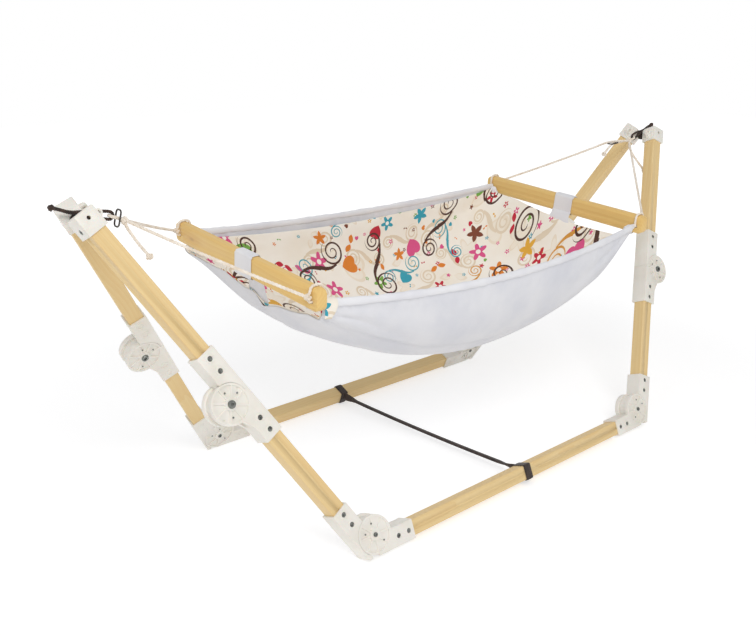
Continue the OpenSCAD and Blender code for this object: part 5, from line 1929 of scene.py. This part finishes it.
@dataclass
class BaseStrap:
    """The brown strap that keeps the base beams from spreading."""

    sag: float = 5
    thick: float = 5.4
    bend: float = 3
    blend_in: float = 24
    rows: int = 60
    columns: int = 6

    def loop(self, side: Side, x: float) -> Solid:
        """The loop round one beam, closed on itself."""
        half = SIZES.timber_w / 2 + SIZES.soft_gap + SIZES.strap_t / 2
        outline = boxed(half, half, self.bend, 22.5)
        out = np.column_stack([np.zeros(len(outline)), outline])
        k = np.linspace(-0.5, 0.5, self.columns)
        rise = 0.5 * SIZES.strap_t * domed(k, 6, 0.05)
        middle = (out + np.array([x, 0, 0]))[:, None] + k[:, None] * np.array([SIZES.strap_w, 0, 0])
        run = np.linspace(0, 8 * half * MM, len(out))
        vertices, faces, chart = band(middle, unit_rows(out), rise, rise, (run, k * SIZES.strap_w * MM),
                                      closed=True)
        return carried(vertices, Places.side(side)), faces, chart

    def build(self) -> None:
        """Makes the loops and the run between them, as one strap that bends across the fold."""
        shell = Shell()
        shell.add(*self.loop(Side.NEAR, SIZES.strap_near_x))
        shell.add(*self.loop(Side.FAR, SIZES.strap_far_x))
        wall = (SIZES.timber_w / 2 + SIZES.soft_gap + 0.5 * SIZES.strap_t) / math.cos(SIZES.tilt)
        t = np.linspace(0, 1, self.rows)
        start = np.array([SIZES.strap_near_x, -SIZES.half_spread + wall, SIZES.base_h])
        stop = np.array([SIZES.strap_far_x, SIZES.half_spread - wall, SIZES.base_h])
        path = start + t[:, None] * (stop - start)
        path[:, 2] -= self.sag * 4 * t * (1 - t)
        run = unit(stop - start)
        across = np.cross(run, [0, 0, 1.0])
        turn = 0.5 * math.pi * np.clip(np.abs(2 * t - 1) * 6 - 5, 0, 1)
        upright = np.sin(turn) * np.sign(t - 0.5)
        lie = np.cos(turn)[:, None] * across + upright[:, None] * np.array([0, 0, 1.0])
        out = np.cross(lie, np.broadcast_to(run, lie.shape))
        fold = SIZES.strap_w * (0.6 + 0.36 * np.clip(np.abs(2 * t - 1) * 7 - 6, 0, 1))
        k = np.linspace(-0.5, 0.5, self.columns)
        rise = 0.5 * self.thick * domed(k, 6, 0.05)
        middle = path[:, None] + k[:, None] * (fold[:, None] * lie)[:, None]
        shell.add(*band(middle, out, rise, rise, (run_of(path) * MM, k * fold.mean() * MM)))
        piece = shell.piece("spread_strap_web", BROWN_WEB.material("brown_webbing"))
        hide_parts("spread_strap")
        edge = SIZES.half_spread - self.blend_in
        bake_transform(piece, "far_base", "near_base", start=(0, edge * MM, 0.02), end=(0, -edge * MM, 0.02))
        log.info("strap: %.0f mm between the beams", run_of(path)[-1])


@dataclass
class SpreaderBars:
    """The two boards on edge that hold the hammock open."""

    ease: float = 3.0

    def build(self) -> None:
        """Replaces the boards with copies that have rounded edges."""
        for seed, name in enumerate(("left_spreader", "right_spreader")):
            frame_of_bar = Places.hammock() @ Matrix.Rotation(-math.pi / 2, 4, "X")
            eased(name, OILED_PINE, "spreader_wood", self.ease, frame_of_bar, 11.3 + seed)
        log.info("spreader bars: two")


# Hammock


def swollen(piece: Thing, held: Points, cap: float, pressure: float = 4.0, frames: int = 20) -> None:
    """Swells a closed pad by cloth simulation and keeps the result in its mesh.

    Args:
        piece: The pad.
        held: For each point, 1 where it is held fast and 0 where it is free.
        cap: The most that a point may move, in millimetres.
        pressure: The pressure inside.
        frames: How many frames the simulation runs.
    """
    mesh = piece.data
    group = piece.vertex_groups.new(name="held")
    for number, weight in enumerate(held):
        if weight > 0:
            group.add([number], float(weight), "REPLACE")
    cloth = piece.modifiers.new("wadding", "CLOTH")
    settings = cloth.settings
    settings.quality = 4
    settings.mass = 0.15
    settings.use_pressure = True
    settings.uniform_pressure_force = pressure
    settings.vertex_group_mass = "held"
    settings.tension_stiffness = settings.compression_stiffness = 12
    settings.bending_stiffness = 0.4
    settings.effector_weights.gravity = 0
    cloth.collision_settings.use_collision = False
    cloth.collision_settings.use_self_collision = False
    scene = bpy.context.scene
    for number in range(1, frames + 1):
        scene.frame_set(number)
    start = coordinates(mesh)
    move = coordinates(piece.evaluated_get(bpy.context.evaluated_depsgraph_get()).data) - start
    far = np.linalg.norm(move, axis=1)
    move *= (np.minimum(far, cap * MM) / np.maximum(far, 1e-9))[:, None]
    mesh.vertices.foreach_set("co", (start + move).ravel())
    piece.modifiers.remove(cloth)
    piece.vertex_groups.remove(group)
    scene.frame_set(1)
    mesh.update()
    log.info("%s swollen by up to %.1f mm", piece.name, float(np.minimum(far, cap * MM).max()) / MM)


@dataclass(frozen=True)
class Bar:
    """A spreader bar's place along the stand and its height, and 1 or -1 for the side of the cloth."""

    x: float
    z: float
    tail: float


BARS = (Bar(SIZES.bar_left_x, SIZES.rim_left, 1.0), Bar(SIZES.bar_right_x, SIZES.rim_right, -1.0))


@dataclass
class Hammock:
    """The outer cloth with its hems, the printed lining and the bands on the bars."""

    columns: int = 150
    rows: int = 160
    cloth_t: float = 1.4
    lining_gap: float = 0.6
    right_lift: float = 29
    hem_height: float = 1.5
    hem_over: float = 6
    loop_flare: float = 0.3
    lining_edge: float = 2.2
    lining_rows: int = 48
    loop_thick: float = 1.8
    cuff_length: float = 28
    pad_cap: float = 3.5
    groove_room: float = 3.6

    def along(self, x: Points) -> Points:
        """Place along the cloth, from -1 at the left bar to 1 at the right one."""
        return 2 * (x - SIZES.bar_left_x) / (SIZES.bar_right_x - SIZES.bar_left_x) - 1

    def section(self, x: Points, t: Points, inset: Points) -> Points:
        """Points of part.scad's cloth form.

        Args:
            x: Places along the stand.
            t: Angles round the section, from 0 at the far rim to 180 at the near one.
            inset: Distances inward from the outer face.

        Returns:
            Points in the hammock's frame.
        """
        u = self.along(x)
        a = np.radians(t)
        bulge = 1 - u * u
        rim_y = SIZES.rim_half + SIZES.rim_bulge * bulge
        rim_z = SIZES.hang_z + (SIZES.rim_right - SIZES.rim_left) / 2 * u - SIZES.rim_sag * bulge
        lift = 1 - SIZES.end_lift * (np.clip(np.abs(u) - 0.8, 0, None) / 0.16) ** 2
        deepening = (SIZES.depth_mid - SIZES.depth_end) * (1 - np.abs(u) ** SIZES.depth_power)
        depth = (SIZES.depth_end + deepening) * lift
        power = 2 / SIZES.section_power
        c, s = np.cos(a), np.sin(a)
        y = (rim_y - inset) * np.sign(c) * np.abs(c) ** power
        z = rim_z - (depth - inset) * np.abs(s) ** power
        return np.stack([x + 0 * y, y, z], axis=-1)

    @staticmethod
    def seamed(u: Points) -> Points:
        """How much of the sewn seam there is at each place along the cloth."""
        return np.exp(-(((u + 0.36) / 0.5) ** 4))

    def folds(self, x: Points, t: Points) -> Points:
        """How far the cloth stands in from its even form.

        Args:
            x: Places along the stand.
            t: Angles round the section.

        Returns:
            Distances inward: long folds from the bar ends, puckers at the rims, and a seam above the keel.
        """
        u = self.along(x)
        q = np.minimum(t, 180 - t) / 90
        flip = np.where(t > 90, 1.0, 0.6)
        end = np.clip(1 - np.abs(u), 0, 1)
        slope = np.arctan2(q * 0.9, end + 0.03)
        near_end = np.exp(-((end / 0.46) ** 2)) * np.clip(end / 0.06, 0, 1) * np.clip(q / 0.1, 0, 1)
        valley = 1 - np.abs(np.sin(slope * 7.4 + 0.9 * np.sign(u))) ** 0.8
        rays = valley * near_end * np.where(u > 0, 6.5, 5.0) * flip
        swell = 2.2 * np.sin(u * 4.3 + q * 3.1 + flip) * np.sin(q * 2.6 + u * 1.7) * np.clip(q / 0.15, 0, 1)
        pucker = 0.8 * np.sin(x / 4.2 + 2 * np.sin(x / 37)) * np.exp(-((q / 0.09) ** 2))
        line = 0.43 - 0.34 * np.clip(-0.4 - u, 0, None) - 0.04 * u
        below = np.clip((q - line) / 0.02, 0, 1)
        groove = 4.6 * np.exp(-(((q - line) / 0.013) ** 2))
        step = 2.6 * below * np.exp(-np.clip(q - line, 0, None) / 0.2) + groove
        seam = step * self.seamed(u)
        return np.clip(rays + swell + pucker + seam * flip + 1.8, 0, 10)

    def hang(self, x: Points, t: Points) -> Points:
        """How the cloth hangs off its even form: lower rims, a fuller belly and uneven end edges.

        Args:
            x: Places along the stand.
            t: Angles round the section.

        Returns:
            Offsets in the hammock's frame.
        """
        u = self.along(x)
        q = np.minimum(t, 180 - t) / 90
        near = np.clip((t - 90) / 12, 0, 1)
        drop = np.clip(1 - q / 0.45, 0, 1) * (near * (8 - 4 * u) + (1 - near) * 3)
        fuller = 27 * np.exp(-(((u - 0.86) / np.where(u < 0.86, 0.5, 0.16)) ** 2))
        drop += fuller * np.clip(q / 0.35, 0, 1) * np.clip((t - 60) / 40, 0, 1)
        drop += 16 * np.exp(-(((u + 0.9) / 0.2) ** 2)) * np.clip(q / 0.3, 0, 1) * np.clip((110 - t) / 40, 0, 1)
        a, b = SIZES.bar_left_x + SIZES.cloth_end, SIZES.bar_right_x - SIZES.cloth_end
        drop -= np.exp(-(((x - b) / 62) ** 2)) * self.right_lift * np.sin(np.radians(t))
        end = np.exp(-(((x - a) / 50) ** 2))
        low = self.section(np.full_like(t, a), t, np.zeros_like(t))[..., 2] - SIZES.hang_z
        far = np.clip((86 - t) / 8, 0, 1) * np.clip((t - 4) / 10, 0, 1)
        near = np.clip((t - 90) / 6, 0, 1) * np.clip((177 - t) / 5, 0, 1)
        sunk = 14 + 8 * np.exp(-(((t - 95) / 7) ** 2)) + 5 * np.exp(-(((t - 160) / 12) ** 2))
        drop += end * (near * sunk - far * np.clip(-17 - low, 0, None))
        return np.stack([-24 * end * far, 0 * drop, -drop], axis=-1)

    def grid(self, inset: float, t0: float, t1: float, columns: int, rows: int,
             room: float = 0) -> tuple[Points, Points, Points]:
        """A grid of points over the cloth's form, folds and drooping end edges included.

        Args:
            inset: Distance inward from the outer face.
            t0: First angle of the section.
            t1: Last angle of the section.
            columns: Steps along.
            rows: Steps round.
            room: A further distance inward, along the seam only.

        Returns:
            Points, the length along and the length round, all in rows and columns.
        """
        a, b = SIZES.bar_left_x + SIZES.cloth_end, SIZES.bar_right_x - SIZES.cloth_end
        k = np.linspace(0, 1, columns + 1)
        crowded = (a + b) / 2 - (b - a) / 2 * np.cos(math.pi * k)
        x = 0.55 * crowded + 0.45 * (a + (b - a) * k)
        t = np.linspace(t0, t1, rows + 1)
        x_grid, t_grid = np.meshgrid(x, t, indexing="ij")
        inset = inset + room * self.seamed(self.along(x_grid))
        points = self.section(x_grid, t_grid, inset + self.folds(x_grid, t_grid))
        steps = np.cumsum(np.linalg.norm(np.diff(points, axis=1), axis=2), axis=1)
        around = np.concatenate([np.zeros((columns + 1, 1)), steps], axis=1)
        middle = rows // 2
        points += self.hang(x_grid, t_grid)
        along = x_grid - (a + b) / 2
        return points, along * MM, (around - around[:, middle : middle + 1]) * MM

    def shell(self, outer: float, inner: float, t0: float, t1: float, columns: int, rows: int,
              room: float = 0) -> Shell:
        """A closed layer of cloth between two insets, in the row frame.

        Args:
            outer: Inset of the outer face.
            inner: Inset of the inner face.
            t0: First angle of the section.
            t1: Last angle of the section.
            columns: Steps along.
            rows: Steps round.
            room: A further distance inward, along the seam only.

        Returns:
            The shell.
        """
        faces, layers, charts = [], [], []
        for inset in (outer, inner):
            points, along, around = self.grid(inset, t0, t1, columns, rows, room)
            layers.append(points.reshape(-1, 3))
            charts.append(np.stack([along.ravel(), around.ravel()], axis=1))
        m = rows + 1
        half = (columns + 1) * m
        for i in range(columns):
            for j in range(rows):
                a, b = i * m + j, (i + 1) * m + j
                faces.append((a, a + 1, b + 1, b))
                faces.append((half + a, half + b, half + b + 1, half + a + 1))
            for a, b in ((i * m, (i + 1) * m), (i * m + rows, (i + 1) * m + rows)):
                faces.append((a, b, half + b, half + a))
        for j in range(rows):
            for a in (j, columns * m + j):
                faces.append((a, a + 1, half + a + 1, half + a))
        shell = Shell()
        shell.add(carried(np.concatenate(layers), Places.hammock()), faces, np.concatenate(charts))
        return shell

    def outer_cloth(self) -> Thing:
        """The white outer cloth."""
        shell = self.shell(0, self.cloth_t, 0, 180, self.columns, self.rows)
        piece = shell.piece("outer_cloth", WHITE_CLOTH.material("white_cloth"), 70)
        return settled(piece, "hammock", "white_cloth", "hammock_cloth")

    def lining(self) -> Thing:
        """The padded, printed lining, swollen by cloth simulation and held along all four edges."""
        outer = self.cloth_t + self.lining_gap
        inner = SIZES.cloth_t + SIZES.soft_gap + SIZES.liner_t - 1.0
        columns, rows = self.columns // 2, self.lining_rows
        shell = self.shell(outer, inner, self.lining_edge, 180 - self.lining_edge, columns, rows,
                           self.groove_room)
        piece = shell.piece("printed_lining", PRINT.material("print_cloth"), 70)
        place = np.arange((columns + 1) * (rows + 1))
        i, j = place // (rows + 1), place % (rows + 1)
        edge = np.minimum(np.minimum(i, columns - i), np.minimum(j, rows - j))
        back = np.ones(len(place))
        front = np.clip(1 - edge / 2, 0, 1)
        swollen(piece, np.concatenate([back, front]), self.pad_cap)
        soft = piece.modifiers.new("soft", "SUBSURF")
        soft.levels = soft.render_levels = 1
        settled(piece, "hammock", "print_cloth", "hammock_liner")
        return piece

    def hems(self) -> list[Thing]:
        """The rolled hems along both rims, a little uneven."""
        pieces = []
        for side in Side:
            t = 0.0 if side is Side.FAR else 180.0
            over = SIZES.cloth_end - self.hem_over
            x = np.linspace(SIZES.bar_left_x + over, SIZES.bar_right_x - over, 220)
            line = self.section(x, np.full_like(x, t), np.zeros_like(x)) + self.hang(x, np.full_like(x, t))
            line[:, 2] += SIZES.hem_r * 0.3
            line[:, 1] -= side.value * 1.0
            lumps = 0.05 * np.sin(x / 9) + 0.06 * np.sin(x / 23 + 1) + 0.04 * np.sin(x / 4.1)
            radius = SIZES.hem_r * (1 + lumps)
            radius *= 1 - 0.25 * np.exp(-((x - x[0]) / 14) ** 2) - 0.25 * np.exp(-((x[-1] - x) / 14) ** 2)
            shell = Shell()
            line = carried(line, Places.hammock())
            vertices, faces, chart = tube(line, radius, 16)
            centre = np.repeat(line[:, 2], 16)
            vertices[:, 2] = centre + (vertices[:, 2] - centre) * self.hem_height
            shell.add(vertices, faces, chart)
            piece = shell.piece(f"{word(side)}_rolled_hem", HEM_CLOTH.material("hem_cloth"), 70)
            pieces.append(settled(piece, "hammock", "white_cloth"))
        return pieces

    def wrap(self, bar: Bar) -> Solid:
        """The middle loop's turn round a bar: vertices, faces and chart, in the row frame."""
        width, thick = SIZES.loop_w, self.loop_thick
        half_x = SIZES.bar_t / 2 + SIZES.soft_gap + thick / 2
        half_z = SIZES.bar_h / 2 + SIZES.soft_gap + thick / 2
        outline = boxed(half_x, half_z, 4.0, 18)
        ahead = np.roll(outline, -1, axis=0) - np.roll(outline, 1, axis=0)
        count = len(outline)
        out = unit_rows(np.stack([ahead[:, 1], np.zeros(count), -ahead[:, 0]], axis=1))
        lean = np.sin(np.arange(count) / count * 2 * math.pi * 2) * 0.06 * width
        centre = np.stack([bar.x + outline[:, 0], SIZES.loop_y + lean, bar.z + outline[:, 1]], axis=1)
        inner_face = np.clip(bar.tail * outline[:, 0] / half_x, 0, 1)
        wide = width * (1 - 0.16 * inner_face * (1 - (outline[:, 1] / half_z) ** 2))
        k = np.linspace(-0.5, 0.5, 19)
        middle = centre[:, None] + (wide[:, None] * k)[..., None] * np.array([0, 1.0, 0])
        rise = 0.5 * thick * domed(k, 8, 0.04)
        chart = (np.linspace(0, 0.13, count), k * width * MM)
        vertices, faces, flat = band(middle, out, rise, rise, chart, closed=True)
        return carried(vertices, Places.hammock()), faces, flat

    def apron(self, bar: Bar, reach: float) -> Solid:
        """The flat run of a middle loop from the bar down to the cloth's end edge.

        Args:
            bar: The bar.
            reach: How far it runs down.

        Returns:
            Vertices, faces and chart, in the row frame.
        """
        k = np.linspace(-0.5, 0.5, 15)
        s = np.linspace(0, 1, 14)
        bulge = np.sin(math.pi * s)
        foot = bar.z - SIZES.bar_h / 2
        top = np.array([bar.x + bar.tail * (SIZES.bar_t / 2 + SIZES.soft_gap + 1.0), 0, foot + 6])
        low = np.array([bar.x + bar.tail * (SIZES.cloth_end + 5), 0, foot - reach])
        way = top + s[:, None] * (low - top) + bulge[:, None] * np.array([bar.tail * 2.0, 0, 0])
        wide = SIZES.loop_w * (1 - 0.08 * bulge + self.loop_flare * s * s)
        middle = way[:, None] + (SIZES.loop_y + wide[:, None] * k)[..., None] * np.array([0, 1.0, 0])
        face = 0.9 * domed(k, 8, 0.04)
        ripple = 0.5 * s[:, None] * np.sin(k * 16)
        out = np.tile([bar.tail, 0.0, 0.0], (len(s), 1))
        vertices, faces, _ = band(middle, out, face + ripple, face - ripple, (s, k))
        return carried(vertices, Places.hammock()), faces, vertices[:, [2, 1]] * MM

    def corner(self, bar: Bar, side: Side) -> Solid:
        """A corner of the cloth, gathered against the lower inner edge of its bar and tucked under it.

        Args:
            bar: The bar.
            side: The side of the hammock.

        Returns:
            Vertices, faces and chart, in the row frame.
        """
        x, z, tail = bar.x, bar.z, bar.tail
        face = SIZES.bar_t / 2 + SIZES.soft_gap
        low = -SIZES.bar_h / 2 - SIZES.soft_gap
        y = side.value * SIZES.tie_y
        way = smooth_way([(x - tail * SIZES.tie_foot, y, z + low - 1.4),
                          (x + tail * 3, y, z + low - 2.4),
                          (x + tail * (face - 1), y + side.value, z + low - 2.4),
                          (x + tail * (face + 5), y + 3 * side.value, z + low + 5),
                          (x + tail * (face + 6.4), y + 6 * side.value, z - 13),
                          (x + tail * (face + 4.2), y + 8 * side.value, z - 6.5),
                          (x + tail * (face + 0.8), y + 8 * side.value, z - 3.5)], 1.4)
        ahead = unit_rows(np.gradient(way, axis=0))
        across = unit_rows(np.array([0.0, 1.0, 0.0]) - ahead * ahead[:, 1:2])
        out = np.cross(ahead, across) * tail
        k = np.linspace(0, 1, len(way))
        tips = np.clip(np.minimum(k, 1 - k) / 0.05, 0.3, 1) ** 0.5
        wide = SIZES.tie_w / 2 * (0.86 + 0.22 * np.sin(math.pi * k)) * tips
        thick = 1.2 + 4.8 * np.sin(math.pi * np.clip((k - 0.3) / 0.7, 0, 1)) ** 0.8
        count = 28
        a = np.linspace(0, 2 * math.pi, count, endpoint=False)
        pleat = 1 + 0.16 * np.cos(a * 7 + 0.6)[None, :] * np.sin(math.pi * k)[:, None] ** 0.5
        flat = np.sign(np.cos(a)) * np.abs(np.cos(a)) ** 0.7
        ring = way[:, None] + (wide[:, None] * flat[None, :] * pleat)[..., None] * across[:, None] \
            + (thick[:, None] * np.sin(a)[None, :] * pleat)[..., None] * out[:, None]
        chart = np.stack([np.repeat(k * 0.06, count), np.tile(a * 0.004, len(way))], axis=1)
        return carried(ring.reshape(-1, 3), Places.hammock()), lattice(len(way), count), chart

    def bands(self) -> Thing:
        """The middle loops and the corner ties on both bars."""
        whole = Shell()
        for bar in BARS:
            place, middle = np.array([bar.x + bar.tail * SIZES.cloth_end]), np.array([92.0])
            edge = (self.section(place, middle, np.zeros(1)) + self.hang(place, middle))[0, 2]
            reach = bar.z - SIZES.bar_h / 2 - edge
            whole.add(*self.wrap(bar))
            whole.add(*self.apron(bar, reach + 4))
            for side in Side:
                whole.add(*self.corner(bar, side))
        piece = whole.piece("bar_loops_and_ties", HEM_CLOTH.material("hem_cloth"), 60)
        return settled(piece, "hammock", "white_cloth", "bar_bands")

    def cuff(self) -> Thing:
        """The lining's end, turned out over the near rim beside the left bar."""
        start = SIZES.bar_left_x + SIZES.cloth_end - 5
        outline = smooth_way([(0, 9, -6), (0, 9, 3), (0, 4, 9.5), (0, -4, 9.5), (0, -10, 2), (0, -11, -10),
                              (0, -10, -24)], 1.6)
        ahead = np.gradient(outline, axis=0)
        out = unit_rows(np.stack([0 * ahead[:, 0], ahead[:, 2], -ahead[:, 1]], axis=1))
        s = np.linspace(0, 1, len(outline))
        length = self.cuff_length * (1 - 0.55 * s ** 3)
        k = np.linspace(0, 1, 15)
        x = start + length[:, None] * k[None, :]
        t = np.full_like(x, 180.0)
        rim = self.section(x, t, np.zeros_like(x)) + self.hang(x, t)
        puff = 1.3 * domed(k - 0.5, 6, 0.05)[None, :] * domed(s - 0.5, 10, 0.05)[:, None]
        vertices, faces, _ = band(rim + outline[:, None], out, puff, 0.8 * puff, (s, k))
        chart = np.stack([vertices[:, 0] * MM + 0.31, np.repeat(s * 0.06, 2 * len(k))], axis=1)
        shell = Shell()
        shell.add(carried(vertices, Places.hammock()), faces, chart)
        piece = shell.piece("turned_lining", PRINT.material("print_cloth"), 60)
        return settled(piece, "hammock", "print_cloth")

    def build(self) -> None:
        """Makes the cloth, the lining, the hems and the bands."""
        cloth = self.outer_cloth()
        self.lining()
        hems = self.hems()
        self.bands()
        self.cuff()
        area = self.cloth_area()
        log.info("hammock: cloth of %.2f square metres, lining, hems and bands", area)

    def cloth_area(self) -> float:
        """The outer cloth's area in square metres, on one face."""
        points, _, _ = self.grid(0, 0, 180, self.columns, self.rows)
        a = np.diff(points, axis=0)[:, :-1]
        b = np.diff(points, axis=1)[:-1]
        return float(np.linalg.norm(np.cross(a, b), axis=2).sum()) * MM * MM


def main() -> None:
    """Builds every sub-assembly in order."""
    logging.basicConfig(level=logging.INFO, format="%(name)s: %(message)s")
    Camera().build()
    CordWork().build()
    Studio().build()
    Stand().build()
    Fasteners().build()
    BaseStrap().build()
    SpreaderBars().build()
    Hammock().build()


if __name__ == "__main__":
    main()
